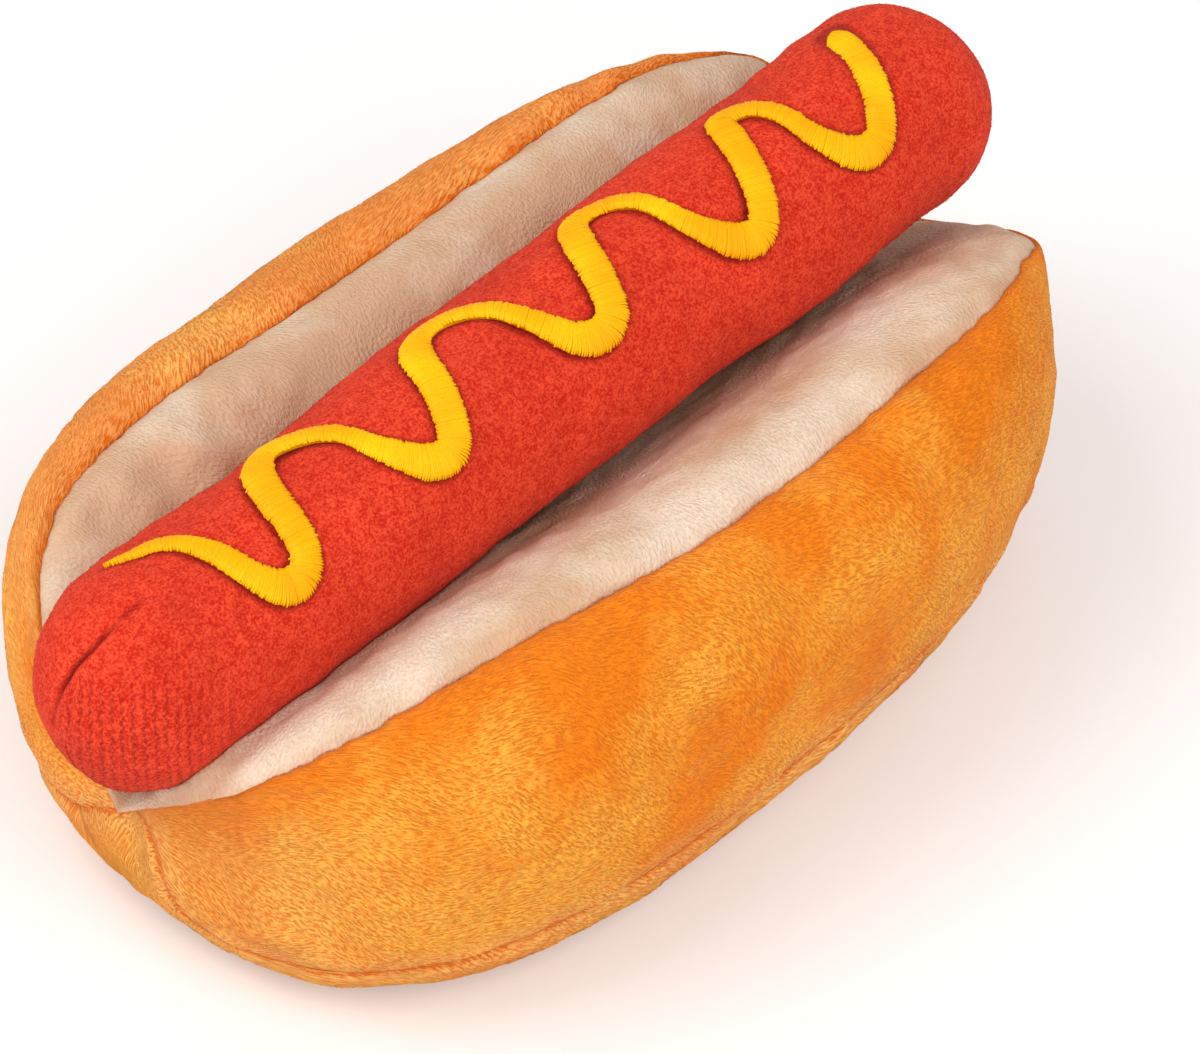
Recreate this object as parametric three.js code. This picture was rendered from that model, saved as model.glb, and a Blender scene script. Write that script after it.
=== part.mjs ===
import * as THREE from 'three';
import { mergeVertices } from 'three/addons/utils/BufferGeometryUtils.js';

// A stuffed plush hot dog for dogs. Millimetres, +Z up, +X along the sausage from its
// near end to its far end, -Y the right lobe. It stands on z = 0 on its base panel.

// Cloth and clearances
const plushThickness = 1.8;
const knitThickness = 1.2;
const fillingGap = 1;
const knitGap = 0.4;
const seamGap = 0.9;
const seamPinch = 0.16;
const seamPinchReach = 5;
const liningSeat = 0.45;

// Sausage
const sausageRadius = 18;
const sausageHalfLength = 105.5;
const sausageEndDepth = 18.5;
const sausageAxisHeight = 67;
const sausageFarRise = 2.4;
const sausageEndDroop = 1;
const coverSlit = 1.2;
const endTurnAngle = 86;

// Bun: rim, belly (widest line) and foot, each a guide curve round the bun
const bunNearLength = 95;
const bunFarLength = 97;
const rimHalfWidth = 43;
const rimHeight = 66;
const bellyNearLength = 89;
const bellyFarLength = 101;
const bellyHalfWidth = 62;
const bellyHeight = 44;
const bellyEndHeight = 25.5;
const footHalfLength = 71;
const footHalfWidth = 41;
const cleftRoom = 4;
const cleftHeight = sausageAxisHeight - sausageRadius - cleftRoom;
const cleftDrawShare = 0.5;

// Superellipse exponents of the belly and the foot in plan
const bellyNearPowerShare = 2 / 2.95;
const bellyFarPowerShare = 2 / 2.5;
const footPowerShare = 2 / 2.4;

// Each rim from the near mouth corner to the far one: shares of the bun's length on
// that side of the middle, of the rim's half width and of the rim's height
const rimShares = {
  right: [
    [-1, 0, 0.6], [-0.968, 0.467, 0.845], [-0.78, 0.737, 0.96], [-0.479, 0.902, 1.02],
    [0.008, 1.035, 1], [0.613, 0.965, 0.976], [0.835, 0.823, 0.927], [0.958, 0.623, 0.821],
    [1, 0, 0.58],
  ],
  left: [
    [-1, 0, 0.6], [-0.941, 0.47, 0.874], [-0.775, 0.8, 0.989], [-0.499, 0.958, 1.005],
    [-0.007, 0.977, 0.973], [0.621, 0.988, 0.968], [0.869, 0.879, 0.944], [0.98, 0.649, 0.856],
    [1, 0, 0.58],
  ],
};

// How full the sections swell between the guide curves, as shares of the distances
const rimFlareShare = 0.55;
const rimRiseShare = 0.15;
const bellyUpperShare = 0.57;
const bellyLowerShare = 0.6;
const footFlareShare = 0.59;
const liningPuffShare = 0.36;
const liningPuff = 8;
const liningWallShare = 0.38;
const liningWallHeight = 5;

// Base seam: how far down the section it lies, and how quickly it leaves the corners
const seamDepthShare = 1.37;
const seamRunShares = { right: 0.016, left: 0.04 };
const seamShiftShare = 0.0014;
const tipShare = 0.014;
const liningTipShare = 0.022;
const soleTipShare = 0.012;
const noseTopShare = 0.4;
const noseShare = 0.15;

// The lobes lean out about the cleft. The base filling's top slopes a little more than
// they lean, and loose wadding fills the wedge between.
const wedgeAngle = 12.6;
const wedgeStart = 12;
const waddingGap = 0.8;
const lobeGap = 0.3;
const hingeInset = 1;
const lobeHeel = 1.2;
const fillingTipShare = 0.03;
const lobeTipShare = 0.09;
const waddingTipShare = 0.17;
const rimSetbackShare = 0.24;
const flankShare = 0.6;

// Embroidery: lower bends along the sausage, and one wave from a lower bend to the
// next as shares of the pitch, of the swing either side of the top, and of the width
const bandWidth = 5.8;
const bandRise = 1.1;
const bandSwing = 13.8;
const bandTaperLength = 14;
const bandRoundLength = 2.8;
const bandEdgeShare = 0.45;
const bandTipShare = 0.12;
const bendShares = [-0.635, -0.3, 0.043, 0.374, 0.654];
const waveShares = [
  [0, 1, 1], [0.12, 0.87, 1], [0.19, 0.3, 1], [0.27, -0.32, 1], [0.4, -0.67, 0.95],
  [0.55, -0.6, 0.66], [0.68, -0.25, 0.62], [0.77, 0.25, 0.7], [0.87, 0.8, 0.9],
];
const leadInWaves = 4;
const tailWaves = 4;
const backingThickness = 0.5;
const backingMargin = 3;

// Squeaker: a flat round bulb with a whistle in its far face
const bulbRadius = 14.3;
const bulbHeight = 19;
const bulbCorner = 6;
const bulbWall = 1.1;
const bulbMouthRadius = 4.2;
const whistleFlangeRadius = 5.6;
const whistleFlangeThickness = 1;
const whistleLength = 5;
const whistleBore = 1.4;
const reedLength = 3;
const reedWidth = 2;
const reedThickness = 0.4;
const partGap = 0.3;

// Tacks that hold the sausage down to the cleft seam
const tackCount = 3;
const tackRadius = 0.6;
const tackPitch = 40;

// Facets
const lengthSteps = 24;
const sidePanelSteps = 6;
const baseLengthSteps = 30;
const basePanelSteps = 20;
const liningSteps = 10;
const lobeSteps = 10;
const baseSteps = 16;
const waddingLengthSteps = 12;
const waddingSteps = 3;
const aroundSteps = 20;
const capSteps = 4;
const barSteps = 8;
const bandSteps = 96;
const bandAcrossSteps = 3;
const backingSteps = 8;
const cornerSteps = 3;
const turnedSegments = 20;
const tackSegments = 6;
const rimSamples = 240;
const slopeStep = 1e-3;
const leastSpeed = 6;
const mergeTolerance = 1e-3;
const halvings = 40;
const soleSpacing = 1.5;

// Where the foot and the middle line lie down the outer cloth's section
const footShare = 2;
const middleShare = 3;

const degree = Math.PI / 180;

const sideSign = { right: -1, left: 1 };

// Guide curves of the bun. u runs from the near mouth corner (0) to the far one (1).
function rimCurve(side) {
  const points = rimShares[side].map(([along, across, up]) => new THREE.Vector3(
    along * (along < 0 ? bunNearLength : bunFarLength),
    sideSign[side] * across * rimHalfWidth,
    up * rimHeight,
  ));
  return new THREE.CatmullRomCurve3(points, false, 'catmullrom');
}

const rims = { right: rimCurve('right'), left: rimCurve('left') };

function signedPower(value, power) {
  return Math.sign(value) * Math.abs(value) ** power;
}

function bellyPoint(side, u) {
  const along = -Math.cos(Math.PI * u);
  const across = Math.sin(Math.PI * u);
  const power = along < 0 ? bellyNearPowerShare : bellyFarPowerShare;
  const length = along < 0 ? bellyNearLength : bellyFarLength;
  return new THREE.Vector3(
    length * signedPower(along, power),
    sideSign[side] * bellyHalfWidth * across ** power,
    bellyEndHeight + (bellyHeight - bellyEndHeight) * across,
  );
}

function footPoint(side, u) {
  return new THREE.Vector3(
    footHalfLength * signedPower(-Math.cos(Math.PI * u), footPowerShare),
    sideSign[side] * footHalfWidth * Math.sin(Math.PI * u) ** footPowerShare,
    0,
  );
}

function cleftPoint(side, u) {
  const right = rims.right.getPoint(u);
  const left = rims.left.getPoint(u);
  const corner = rims.right.getPoint(u < 0.5 ? 0 : 1).z;
  const lift = Math.sqrt(Math.sin(Math.PI * u));
  const even = THREE.MathUtils.lerp(rims.right.getPoint(0).x, rims.right.getPoint(1).x, u);
  return new THREE.Vector3(
    THREE.MathUtils.lerp((right.x + left.x) / 2, even, cleftDrawShare),
    sideSign[side] * seamGap / 2,
    corner + (cleftHeight - corner) * lift,
  );
}

// Outer cloth. depth 0 is the rim, 1 the belly, 2 the foot and 3 the middle line.
function outerPoint(side, u, depth) {
  const belly = bellyPoint(side, u);
  if (depth <= 1) {
    const rim = rims[side].getPoint(u);
    const rise = rim.z - belly.z;
    const flare = belly.clone().sub(rim).setZ(0);
    const first = rim.clone().addScaledVector(flare, rimFlareShare);
    first.z += rimRiseShare * rise;
    const second = belly.clone();
    second.z += bellyUpperShare * rise;
    return new THREE.CubicBezierCurve3(rim, first, second, belly).getPoint(depth);
  }
  const foot = footPoint(side, u);
  if (depth <= footShare) {
    const first = belly.clone().setZ(belly.z * (1 - bellyLowerShare));
    const second = foot.clone().lerp(belly.clone().setZ(0), footFlareShare);
    return new THREE.CubicBezierCurve3(belly, first, second, foot).getPoint(depth - 1);
  }
  return foot.setY(foot.y * (middleShare - depth));
}

// Sausage: a round bar with full ends, its far end a little higher than its near one
function sausageAxis(x) {
  const share = x / sausageHalfLength;
  return sausageAxisHeight + sausageFarRise * share - sausageEndDroop * share * share;
}

function sausageRadiusAt(x) {
  const straight = sausageHalfLength - sausageEndDepth;
  const share = Math.min(Math.max(Math.abs(x) - straight, 0) / sausageEndDepth, 1);
  return sausageRadius * Math.sqrt(1 - share * share);
}

function sausagePoint(x, angle, radius) {
  return new THREE.Vector3(x, radius * Math.cos(angle), sausageAxis(x) + radius * Math.sin(angle));
}

// Lining. v 0 is the rim and 1 the cleft; the cloth lies against the sausage.
function liningPoint(side, u, v) {
  const rim = rims[side].getPoint(u);
  const cleft = cleftPoint(side, u);
  const reach = cleft.clone().sub(rim).setZ(0);
  const swell = Math.sin(Math.PI * u);
  const first = rim.clone().addScaledVector(reach, liningPuffShare);
  first.z += liningPuff * swell;
  const second = cleft.clone().addScaledVector(reach, -liningWallShare);
  second.z += liningWallHeight * swell;
  const point = new THREE.CubicBezierCurve3(rim, first, second, cleft).getPoint(v);
  const height = point.z - sausageAxis(point.x);
  const near = sausageRadiusAt(point.x) + liningSeat;
  const away = Math.hypot(point.y, height);
  if (away < near) {
    point.y *= near / away;
    point.z = sausageAxis(point.x) + height * near / away;
  }
  return point;
}

// A surface sunk along its own normal. inward is 1 or -1 and picks the face.
function sink(surface, u, v, inset, inward) {
  const before = surface(Math.max(u - slopeStep, 0), v);
  const after = surface(Math.min(u + slopeStep, 1), v);
  const above = surface(u, Math.max(v - slopeStep, 0));
  const below = surface(u, v + slopeStep);
  const normal = after.sub(before).cross(below.sub(above)).normalize();
  return surface(u, v).addScaledVector(normal, inset * inward);
}

// The value of v a given distance further down the surface, square to its u lines
function stepDown(surface, u, v, distance) {
  const here = surface(u, v);
  const along = surface(Math.min(u + slopeStep, 1), v).sub(here).normalize();
  const down = surface(u, v + slopeStep).sub(here);
  const speed = down.addScaledVector(along, -down.dot(along)).length() / slopeStep;
  return v + distance / Math.max(speed, leastSpeed);
}

// The depth at which a falling function of depth reaches zero
function depthWhere(height, low, high) {
  let above = low;
  let below = high;
  for (let step = 0; step < halvings; step += 1) {
    const middle = (above + below) / 2;
    if (height(middle) > 0) {
      above = middle;
    } else {
      below = middle;
    }
  }
  return (above + below) / 2;
}

// A closed body between two sheets of points, each a function of shares u and v
function sheetBody(front, back, uSteps, vSteps) {
  const rows = uSteps + 1;
  const columns = vSteps + 1;
  const positions = [];
  for (const sheet of [front, back]) {
    for (let i = 0; i < rows; i += 1) {
      for (let j = 0; j < columns; j += 1) {
        positions.push(...sheet(i / uSteps, j / vSteps).toArray());
      }
    }
  }
  const at = (sheet, i, j) => (sheet * rows + i) * columns + j;
  const indices = [];
  const quad = (a, b, c, d) => indices.push(a, b, c, a, c, d);
  for (let i = 0; i < uSteps; i += 1) {
    for (let j = 0; j < vSteps; j += 1) {
      quad(at(0, i, j), at(0, i + 1, j), at(0, i + 1, j + 1), at(0, i, j + 1));
      quad(at(1, i, j), at(1, i, j + 1), at(1, i + 1, j + 1), at(1, i + 1, j));
    }
    quad(at(0, i, 0), at(1, i, 0), at(1, i + 1, 0), at(0, i + 1, 0));
    quad(at(0, i, vSteps), at(0, i + 1, vSteps), at(1, i + 1, vSteps), at(1, i, vSteps));
  }
  for (let j = 0; j < vSteps; j += 1) {
    quad(at(0, 0, j), at(0, 0, j + 1), at(1, 0, j + 1), at(1, 0, j));
    quad(at(0, uSteps, j), at(1, uSteps, j), at(1, uSteps, j + 1), at(0, uSteps, j + 1));
  }
  return facingOut(positions, indices);
}

// An indexed geometry, turned over if its faces point in
function facingOut(positions, indices) {
  const geometry = new THREE.BufferGeometry();
  geometry.setAttribute('position', new THREE.Float32BufferAttribute(positions, 3));
  const corner = (n) => new THREE.Vector3().fromArray(positions, 3 * indices[n]);
  let volume = 0;
  for (let n = 0; n < indices.length; n += 3) {
    volume += corner(n).dot(corner(n + 1).cross(corner(n + 2)));
  }
  geometry.setIndex(volume < 0 ? indices.reverse() : indices);
  return geometry;
}

// A solid through rings of points, closed by a fan at each end
function ringBody(rings) {
  const count = rings[0].length;
  const positions = rings.flat().flatMap((point) => point.toArray());
  const indices = [];
  for (let ring = 0; ring + 1 < rings.length; ring += 1) {
    for (let n = 0; n < count; n += 1) {
      const a = ring * count + n;
      const b = ring * count + (n + 1) % count;
      indices.push(a, b, b + count, a, b + count, a + count);
    }
  }
  for (const [ring, turned] of [[0, true], [rings.length - 1, false]]) {
    const middle = new THREE.Vector3();
    rings[ring].forEach((point) => middle.addScaledVector(point, 1 / count));
    const hub = positions.length / 3;
    positions.push(...middle.toArray());
    for (let n = 0; n < count; n += 1) {
      const a = ring * count + n;
      const b = ring * count + (n + 1) % count;
      indices.push(hub, turned ? b : a, turned ? a : b);
    }
  }
  return facingOut(positions, indices);
}

// A turned solid with its axis along X. Profile points are [radius, x].
function turned(profile, segments) {
  const lathe = new THREE.LatheGeometry(profile.map(([r, x]) => new THREE.Vector2(r, x)), segments);
  lathe.rotateZ(-Math.PI / 2);
  lathe.deleteAttribute('normal');
  lathe.deleteAttribute('uv');
  const merged = mergeVertices(lathe, mergeTolerance);
  return facingOut(Array.from(merged.attributes.position.array), solidFaces(merged));
}

// Faces whose three corners stayed apart when the vertices were merged
function solidFaces(geometry) {
  const faces = [];
  const index = geometry.index.array;
  for (let n = 0; n < index.length; n += 3) {
    const [a, b, c] = index.slice(n, n + 3);
    if (a !== b && b !== c && c !== a) {
      faces.push(a, b, c);
    }
  }
  return faces;
}

// Places along the bun, closer together at its ends, clear of the corners
function alongBun(share, tip) {
  return tip + (1 - 2 * tip) * (1 - Math.cos(Math.PI * share)) / 2;
}

const sides = ['right', 'left'];

// Base seam: from the mouth corner down the section to its full depth
function seamDepth(side, u, shift) {
  const fromCorner = Math.max(Math.min(u, 1 - u) + shift, 0);
  return seamDepthShare * (1 - Math.exp(-fromCorner / seamRunShares[side]));
}

// Plush is pinched thin where the rim seam holds it
const rimPoints = {
  right: rims.right.getPoints(rimSamples),
  left: rims.left.getPoints(rimSamples),
};

function clothAt(side, point) {
  const away = Math.min(...rimPoints[side].map((rim) => rim.distanceTo(point)));
  return THREE.MathUtils.lerp(seamPinch, plushThickness, Math.min(away / seamPinchReach, 1));
}

// Side panel, from the rim to the base seam
function sidePanel(side) {
  const surface = (u, depth) => outerPoint(side, u, depth);
  const depthAt = (u, v) => {
    const top = stepDown(surface, u, 0, seamGap / 2);
    const seam = seamDepth(side, u, -seamShiftShare);
    const bottom = stepDown(surface, u, seam, -seamGap / 2);
    return top + (bottom - top) * v;
  };
  const front = (s, v) => {
    const u = alongBun(s, tipShare);
    return surface(u, depthAt(u, v));
  };
  const back = (s, v) => {
    const u = alongBun(s, tipShare);
    const depth = depthAt(u, v);
    const cloth = clothAt(side, surface(u, depth));
    return sink(surface, u, depth, cloth, -sideSign[side]);
  };
  return sheetBody(front, back, lengthSteps, sidePanelSteps);
}

// The middle of the base cloth: down the near end, along the sole and up the far end
function spine(share) {
  const down = Math.min(share, 1 - share) / noseShare;
  if (down < 1) {
    const depth = THREE.MathUtils.lerp(noseTopShare, footShare, down);
    return { u: share < 0.5 ? 0 : 1, depth };
  }
  return { u: (share - noseShare) / (1 - 2 * noseShare), depth: middleShare };
}

// A place on the base cloth. Each row runs from an edge on the right side, over the
// spine, to the same edge on the left side.
function soleAt(s, v, tip, edgeDepth) {
  const side = v < 0.5 ? 'right' : 'left';
  const u = alongBun(s, tip);
  const toMiddle = (1 - Math.abs(1 - 2 * v)) ** soleSpacing;
  const middle = spine(s);
  return {
    side,
    u: THREE.MathUtils.lerp(u, middle.u, toMiddle),
    depth: THREE.MathUtils.lerp(edgeDepth(side, u), middle.depth, toMiddle),
  };
}

// Base panel: a boat-shaped sole whose tips climb the ends between the side panels
function basePanel() {
  const seam = (side, u) => {
    const surface = (a, b) => outerPoint(side, a, b);
    return stepDown(surface, u, seamDepth(side, u, seamShiftShare), seamGap / 2);
  };
  const front = (s, v) => {
    const { side, u, depth } = soleAt(s, v, soleTipShare, seam);
    return outerPoint(side, u, depth);
  };
  const back = (s, v) => {
    const { side, u, depth } = soleAt(s, v, soleTipShare, seam);
    const surface = (a, b) => outerPoint(side, a, b);
    if (depth >= footShare) {
      return surface(u, depth).setZ(plushThickness);
    }
    return sink(surface, u, depth, clothAt(side, surface(u, depth)), -sideSign[side]);
  };
  return sheetBody(front, back, baseLengthSteps, basePanelSteps);
}

// Lining of one lobe, from the rim to the cleft
function lining(side) {
  const surface = (u, v) => liningPoint(side, u, v);
  const place = (u, v) => {
    const top = stepDown(surface, u, 0, seamGap / 2);
    return top + (1 - slopeStep - top) * v;
  };
  const front = (s, v) => {
    const u = alongBun(s, liningTipShare);
    return surface(u, place(u, v));
  };
  const back = (s, v) => {
    const u = alongBun(s, liningTipShare);
    const down = place(u, v);
    const cloth = clothAt(side, surface(u, down));
    return sink(surface, u, down, cloth, sideSign[side]);
  };
  return sheetBody(front, back, lengthSteps, liningSteps);
}

// Filling surfaces lie this far under the cloth's face
const clothDepth = plushThickness + fillingGap;

function sunkOuter(side, u, depth) {
  const surface = (a, b) => outerPoint(side, a, b);
  return sink(surface, u, depth, clothDepth, -sideSign[side]);
}

function sunkLining(side, u, v) {
  const surface = (a, b) => liningPoint(side, a, b);
  return sink(surface, u, v, clothDepth, sideSign[side]);
}

// Underside of a lobe's filling, and the sloped top of the base filling, which leaves
// the lobe room to lean out about the cleft
function lobeUnderside(u) {
  return cleftPoint('right', u).z - clothDepth - lobeHeel;
}

function baseTop(u, y) {
  const out = Math.max(Math.abs(y) - hingeInset, 0);
  return lobeUnderside(u) - lobeGap - out * Math.tan(wedgeAngle * degree);
}

// Filling of one lobe
function lobeFilling(side) {
  const outer = (s, v) => {
    const u = alongBun(s, lobeTipShare);
    const low = lobeUnderside(u);
    const foot = depthWhere((depth) => sunkOuter(side, u, depth).z - low, 0, footShare);
    if (v <= flankShare) {
      const down = THREE.MathUtils.lerp(rimSetbackShare, 1, v / flankShare);
      return sunkOuter(side, u, foot * down);
    }
    const corner = sunkOuter(side, u, foot);
    const heel = new THREE.Vector3(cleftPoint(side, u).x, sideSign[side] * hingeInset, corner.z);
    return corner.lerp(heel, (v - flankShare) / (1 - flankShare));
  };
  const inner = (s, v) => {
    const u = alongBun(s, lobeTipShare);
    return sunkLining(side, u, THREE.MathUtils.lerp(rimSetbackShare, 1 - slopeStep, v));
  };
  return sheetBody(outer, inner, lengthSteps, lobeSteps);
}

// Filling of the base, under both lobes
function baseFilling() {
  const edgeDepth = (side, u) => depthWhere((depth) => {
    const point = sunkOuter(side, u, depth);
    return point.z - baseTop(u, point.y);
  }, 0, footShare);
  const under = (s, v) => {
    const { side, u, depth } = soleAt(s, v, fillingTipShare, edgeDepth);
    if (depth >= footShare) {
      return outerPoint(side, u, depth).setZ(clothDepth);
    }
    return sunkOuter(side, u, depth);
  };
  const over = (s, v) => {
    const side = v < 0.5 ? 'right' : 'left';
    const u = alongBun(s, fillingTipShare);
    const edge = sunkOuter(side, u, edgeDepth(side, u));
    const middle = cleftPoint(side, u).x;
    const ridge = new THREE.Vector3(Math.abs(middle) < Math.abs(edge.x) ? middle : edge.x, 0, 0);
    const point = edge.lerp(ridge, 1 - Math.abs(1 - 2 * v));
    return point.setZ(baseTop(u, point.y));
  };
  return sheetBody(under, over, baseLengthSteps, baseSteps);
}

// Loose wadding in the wedge between a lobe and the base
function flankWadding(side) {
  const edge = (u, height) => {
    const depth = depthWhere((d) => {
      const point = sunkOuter(side, u, d);
      return point.z - height(u, point.y);
    }, 0, footShare);
    return sunkOuter(side, u, depth);
  };
  const layer = (height) => (s, v) => {
    const u = alongBun(s, waddingTipShare);
    const outside = edge(u, height);
    const inside = new THREE.Vector3(outside.x, sideSign[side] * wedgeStart, 0);
    const point = inside.lerp(outside, v);
    return point.setZ(height(u, point.y));
  };
  const top = layer((u) => lobeUnderside(u) - waddingGap);
  const bottom = layer((u, y) => baseTop(u, y) + waddingGap);
  return sheetBody(top, bottom, waddingLengthSteps, waddingSteps);
}

// A ring of the bar at a share of its length, inset under its face
function barRing(share, inset) {
  const straight = sausageHalfLength - sausageEndDepth;
  const steps = 2 * capSteps + barSteps;
  const place = share * steps;
  const fromEnd = Math.min(place, steps - place);
  const side = place < steps / 2 ? -1 : 1;
  const turn = Math.max(1 - fromEnd / capSteps, 0) * endTurnAngle * degree;
  const body = Math.min(2 * Math.max(fromEnd - capSteps, 0) / barSteps, 1);
  return {
    x: side * (straight * (1 - body) + (sausageEndDepth - inset) * Math.sin(turn)),
    radius: (sausageRadius - inset) * Math.cos(turn),
  };
}

// Knit cover: one panel rolled round, its long edges a slit apart underneath
function sausageCover() {
  const sheet = (inset) => (s, v) => {
    const { x, radius } = barRing(s, inset);
    const slit = coverSlit / (2 * radius);
    const angle = -Math.PI / 2 + slit + 2 * (Math.PI - slit) * v;
    return sausagePoint(x, angle, radius);
  };
  return sheetBody(sheet(0), sheet(knitThickness), 2 * capSteps + barSteps, aroundSteps);
}

// Fibre between one end of the sausage and the squeaker
const sausageFillingInset = knitThickness + backingThickness + 2 * knitGap;

function sausageFilling(end, inner) {
  const ring = ({ x, radius }) => Array.from({ length: aroundSteps }, (_, n) => (
    sausagePoint(end * Math.abs(x), 2 * Math.PI * n / aroundSteps, radius)));
  const rings = [];
  const steps = 2 * capSteps + barSteps;
  for (let n = 0; n < steps / 2; n += 1) {
    rings.push(ring(barRing(n / steps, sausageFillingInset)));
  }
  rings.push(ring({ x: inner, radius: sausageRadius - sausageFillingInset }));
  return ringBody(rings);
}

// Centre line of the embroidery, unrolled: x along the sausage, y round it from its top
// towards the right lobe, z the width there
function bandCurve() {
  const points = [];
  const bends = bendShares.map((share) => share * sausageHalfLength);
  const add = (from, pitch, [along, round, width]) => points.push(new THREE.Vector3(
    from + along * pitch,
    round * bandSwing,
    width * bandWidth,
  ));
  const firstPitch = bends[1] - bends[0];
  waveShares.slice(-leadInWaves).forEach((wave) => add(bends[0] - firstPitch, firstPitch, wave));
  for (let n = 0; n + 1 < bends.length; n += 1) {
    waveShares.forEach((wave) => add(bends[n], bends[n + 1] - bends[n], wave));
  }
  waveShares.slice(0, tailWaves).forEach((wave) => add(bends.at(-1), firstPitch, wave));
  return new THREE.CatmullRomCurve3(points, false, 'catmullrom');
}

// A point over the sausage's face, from its place on the unrolled cloth
function onSausage(along, round, height) {
  return sausagePoint(along, Math.PI / 2 + round / sausageRadius, sausageRadius + height);
}

// Raised satin stitch along the centre line, tapered at its start and round at its end
function mustard() {
  const curve = bandCurve();
  const length = curve.getLength();
  const place = (s, v) => {
    const point = curve.getPointAt(s);
    const ahead = curve.getTangentAt(s).setZ(0).normalize();
    const fromStart = Math.min(s * length / bandTaperLength, 1);
    const toEnd = Math.min((1 - s) * length / bandRoundLength, 1);
    const round = Math.sqrt(1 - (1 - toEnd) ** 2);
    const half = point.z / 2 * Math.max(fromStart * round, bandTipShare);
    const across = 2 * v - 1;
    return { x: point.x - ahead.y * half * across, y: point.y + ahead.x * half * across, across };
  };
  const top = (s, v) => {
    const { x, y, across } = place(s, v);
    const crown = bandEdgeShare + (1 - bandEdgeShare) * Math.sqrt(1 - across * across);
    return onSausage(x, y, partGap + bandRise * crown);
  };
  const bottom = (s, v) => {
    const { x, y } = place(s, v);
    return onSausage(x, y, partGap);
  };
  return sheetBody(top, bottom, bandSteps, bandAcrossSteps);
}

// Stabiliser behind the embroidery, inside the cover
function backing() {
  const curve = bandCurve();
  const start = curve.getPoint(0).x - backingMargin;
  const end = curve.getPoint(1).x + backingMargin;
  const reach = bandSwing + bandWidth / 2 + backingMargin;
  const sheet = (inset) => (s, v) => {
    const angle = Math.PI / 2 + reach / sausageRadius * (2 * v - 1);
    return sausagePoint(start + (end - start) * s, angle, sausageRadius - inset);
  };
  const inset = knitThickness + knitGap;
  return sheetBody(sheet(inset), sheet(inset + backingThickness), barSteps, backingSteps);
}

// Squeaker pieces, turned about the squeaker's own axis
function bulb() {
  const half = bulbHeight / 2;
  const profile = [[0, -half], [bulbRadius - bulbCorner, -half]];
  const corner = (middle, from, inset) => {
    for (let n = 1; n <= cornerSteps; n += 1) {
      const angle = from + Math.PI / 2 * n / cornerSteps;
      const radius = bulbCorner - inset;
      profile.push([
        bulbRadius - bulbCorner + radius * Math.cos(angle),
        middle + radius * Math.sin(angle),
      ]);
    }
  };
  corner(bulbCorner - half, -Math.PI / 2, 0);
  corner(half - bulbCorner, 0, 0);
  profile.push([bulbMouthRadius, half], [bulbMouthRadius, half - bulbWall]);
  const inside = [];
  for (let n = cornerSteps; n >= -cornerSteps; n -= 1) {
    const angle = Math.PI / 2 * n / cornerSteps;
    const middle = n > 0 ? half - bulbCorner : bulbCorner - half;
    const radius = bulbCorner - bulbWall;
    inside.push([
      bulbRadius - bulbCorner + radius * Math.cos(angle),
      (n === 0 ? 0 : middle) + radius * Math.sin(angle),
    ]);
  }
  profile.push(...inside, [0, bulbWall - half]);
  return turned(profile, turnedSegments);
}

function whistle() {
  const seat = bulbHeight / 2 + partGap;
  const stem = bulbMouthRadius - partGap;
  return turned([
    [whistleBore, seat - whistleLength],
    [stem, seat - whistleLength],
    [stem, seat],
    [whistleFlangeRadius, seat],
    [whistleFlangeRadius, seat + whistleFlangeThickness],
    [whistleBore, seat + whistleFlangeThickness],
    [whistleBore, seat - whistleLength],
  ], turnedSegments);
}

function reed() {
  const geometry = new THREE.BoxGeometry(reedLength, reedWidth, reedThickness);
  geometry.deleteAttribute('normal');
  geometry.deleteAttribute('uv');
  return mergeVertices(geometry, mergeTolerance);
}

// A short thread tack under the sausage, standing in the cleft at x
function tack(x) {
  const u = depthWhere((share) => x - cleftPoint('right', share).x, 0, 1);
  const low = cleftPoint('right', u).z + tackRadius + partGap;
  const high = sausageAxis(x) - sausageRadius - partGap;
  const ring = (z) => Array.from({ length: tackSegments }, (_, n) => new THREE.Vector3(
    x + tackRadius * Math.cos(2 * Math.PI * n / tackSegments),
    tackRadius * Math.sin(2 * Math.PI * n / tackSegments),
    z,
  ));
  return ringBody([ring(low), ring(high)]);
}

const colours = {
  bun: 0xf2962c,
  lining: 0xe3c9ae,
  knit: 0xe23d2c,
  thread: 0xfac817,
  filling: 0xf4f2ec,
  backing: 0xf7f7f4,
  bulb: 0xf3efe2,
  whistle: 0xe8e6df,
};

function piece(name, geometry, colour, roughness) {
  const material = new THREE.MeshStandardMaterial({ color: colours[colour], roughness, metalness: 0 });
  const mesh = new THREE.Mesh(geometry, material);
  mesh.name = name;
  return mesh;
}

const toy = new THREE.Group();

const bun = new THREE.Group();
for (const side of sides) {
  bun.add(piece(`bun_side_${side}`, sidePanel(side), 'bun', 0.95));
  bun.add(piece(`bun_lining_${side}`, lining(side), 'lining', 0.95));
  bun.add(piece(`lobe_filling_${side}`, lobeFilling(side), 'filling', 1));
  bun.add(piece(`flank_wadding_${side}`, flankWadding(side), 'filling', 1));
}
bun.add(piece('bun_base_panel', basePanel(), 'bun', 0.95));
bun.add(piece('base_filling', baseFilling(), 'filling', 1));
toy.add(bun);

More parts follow.
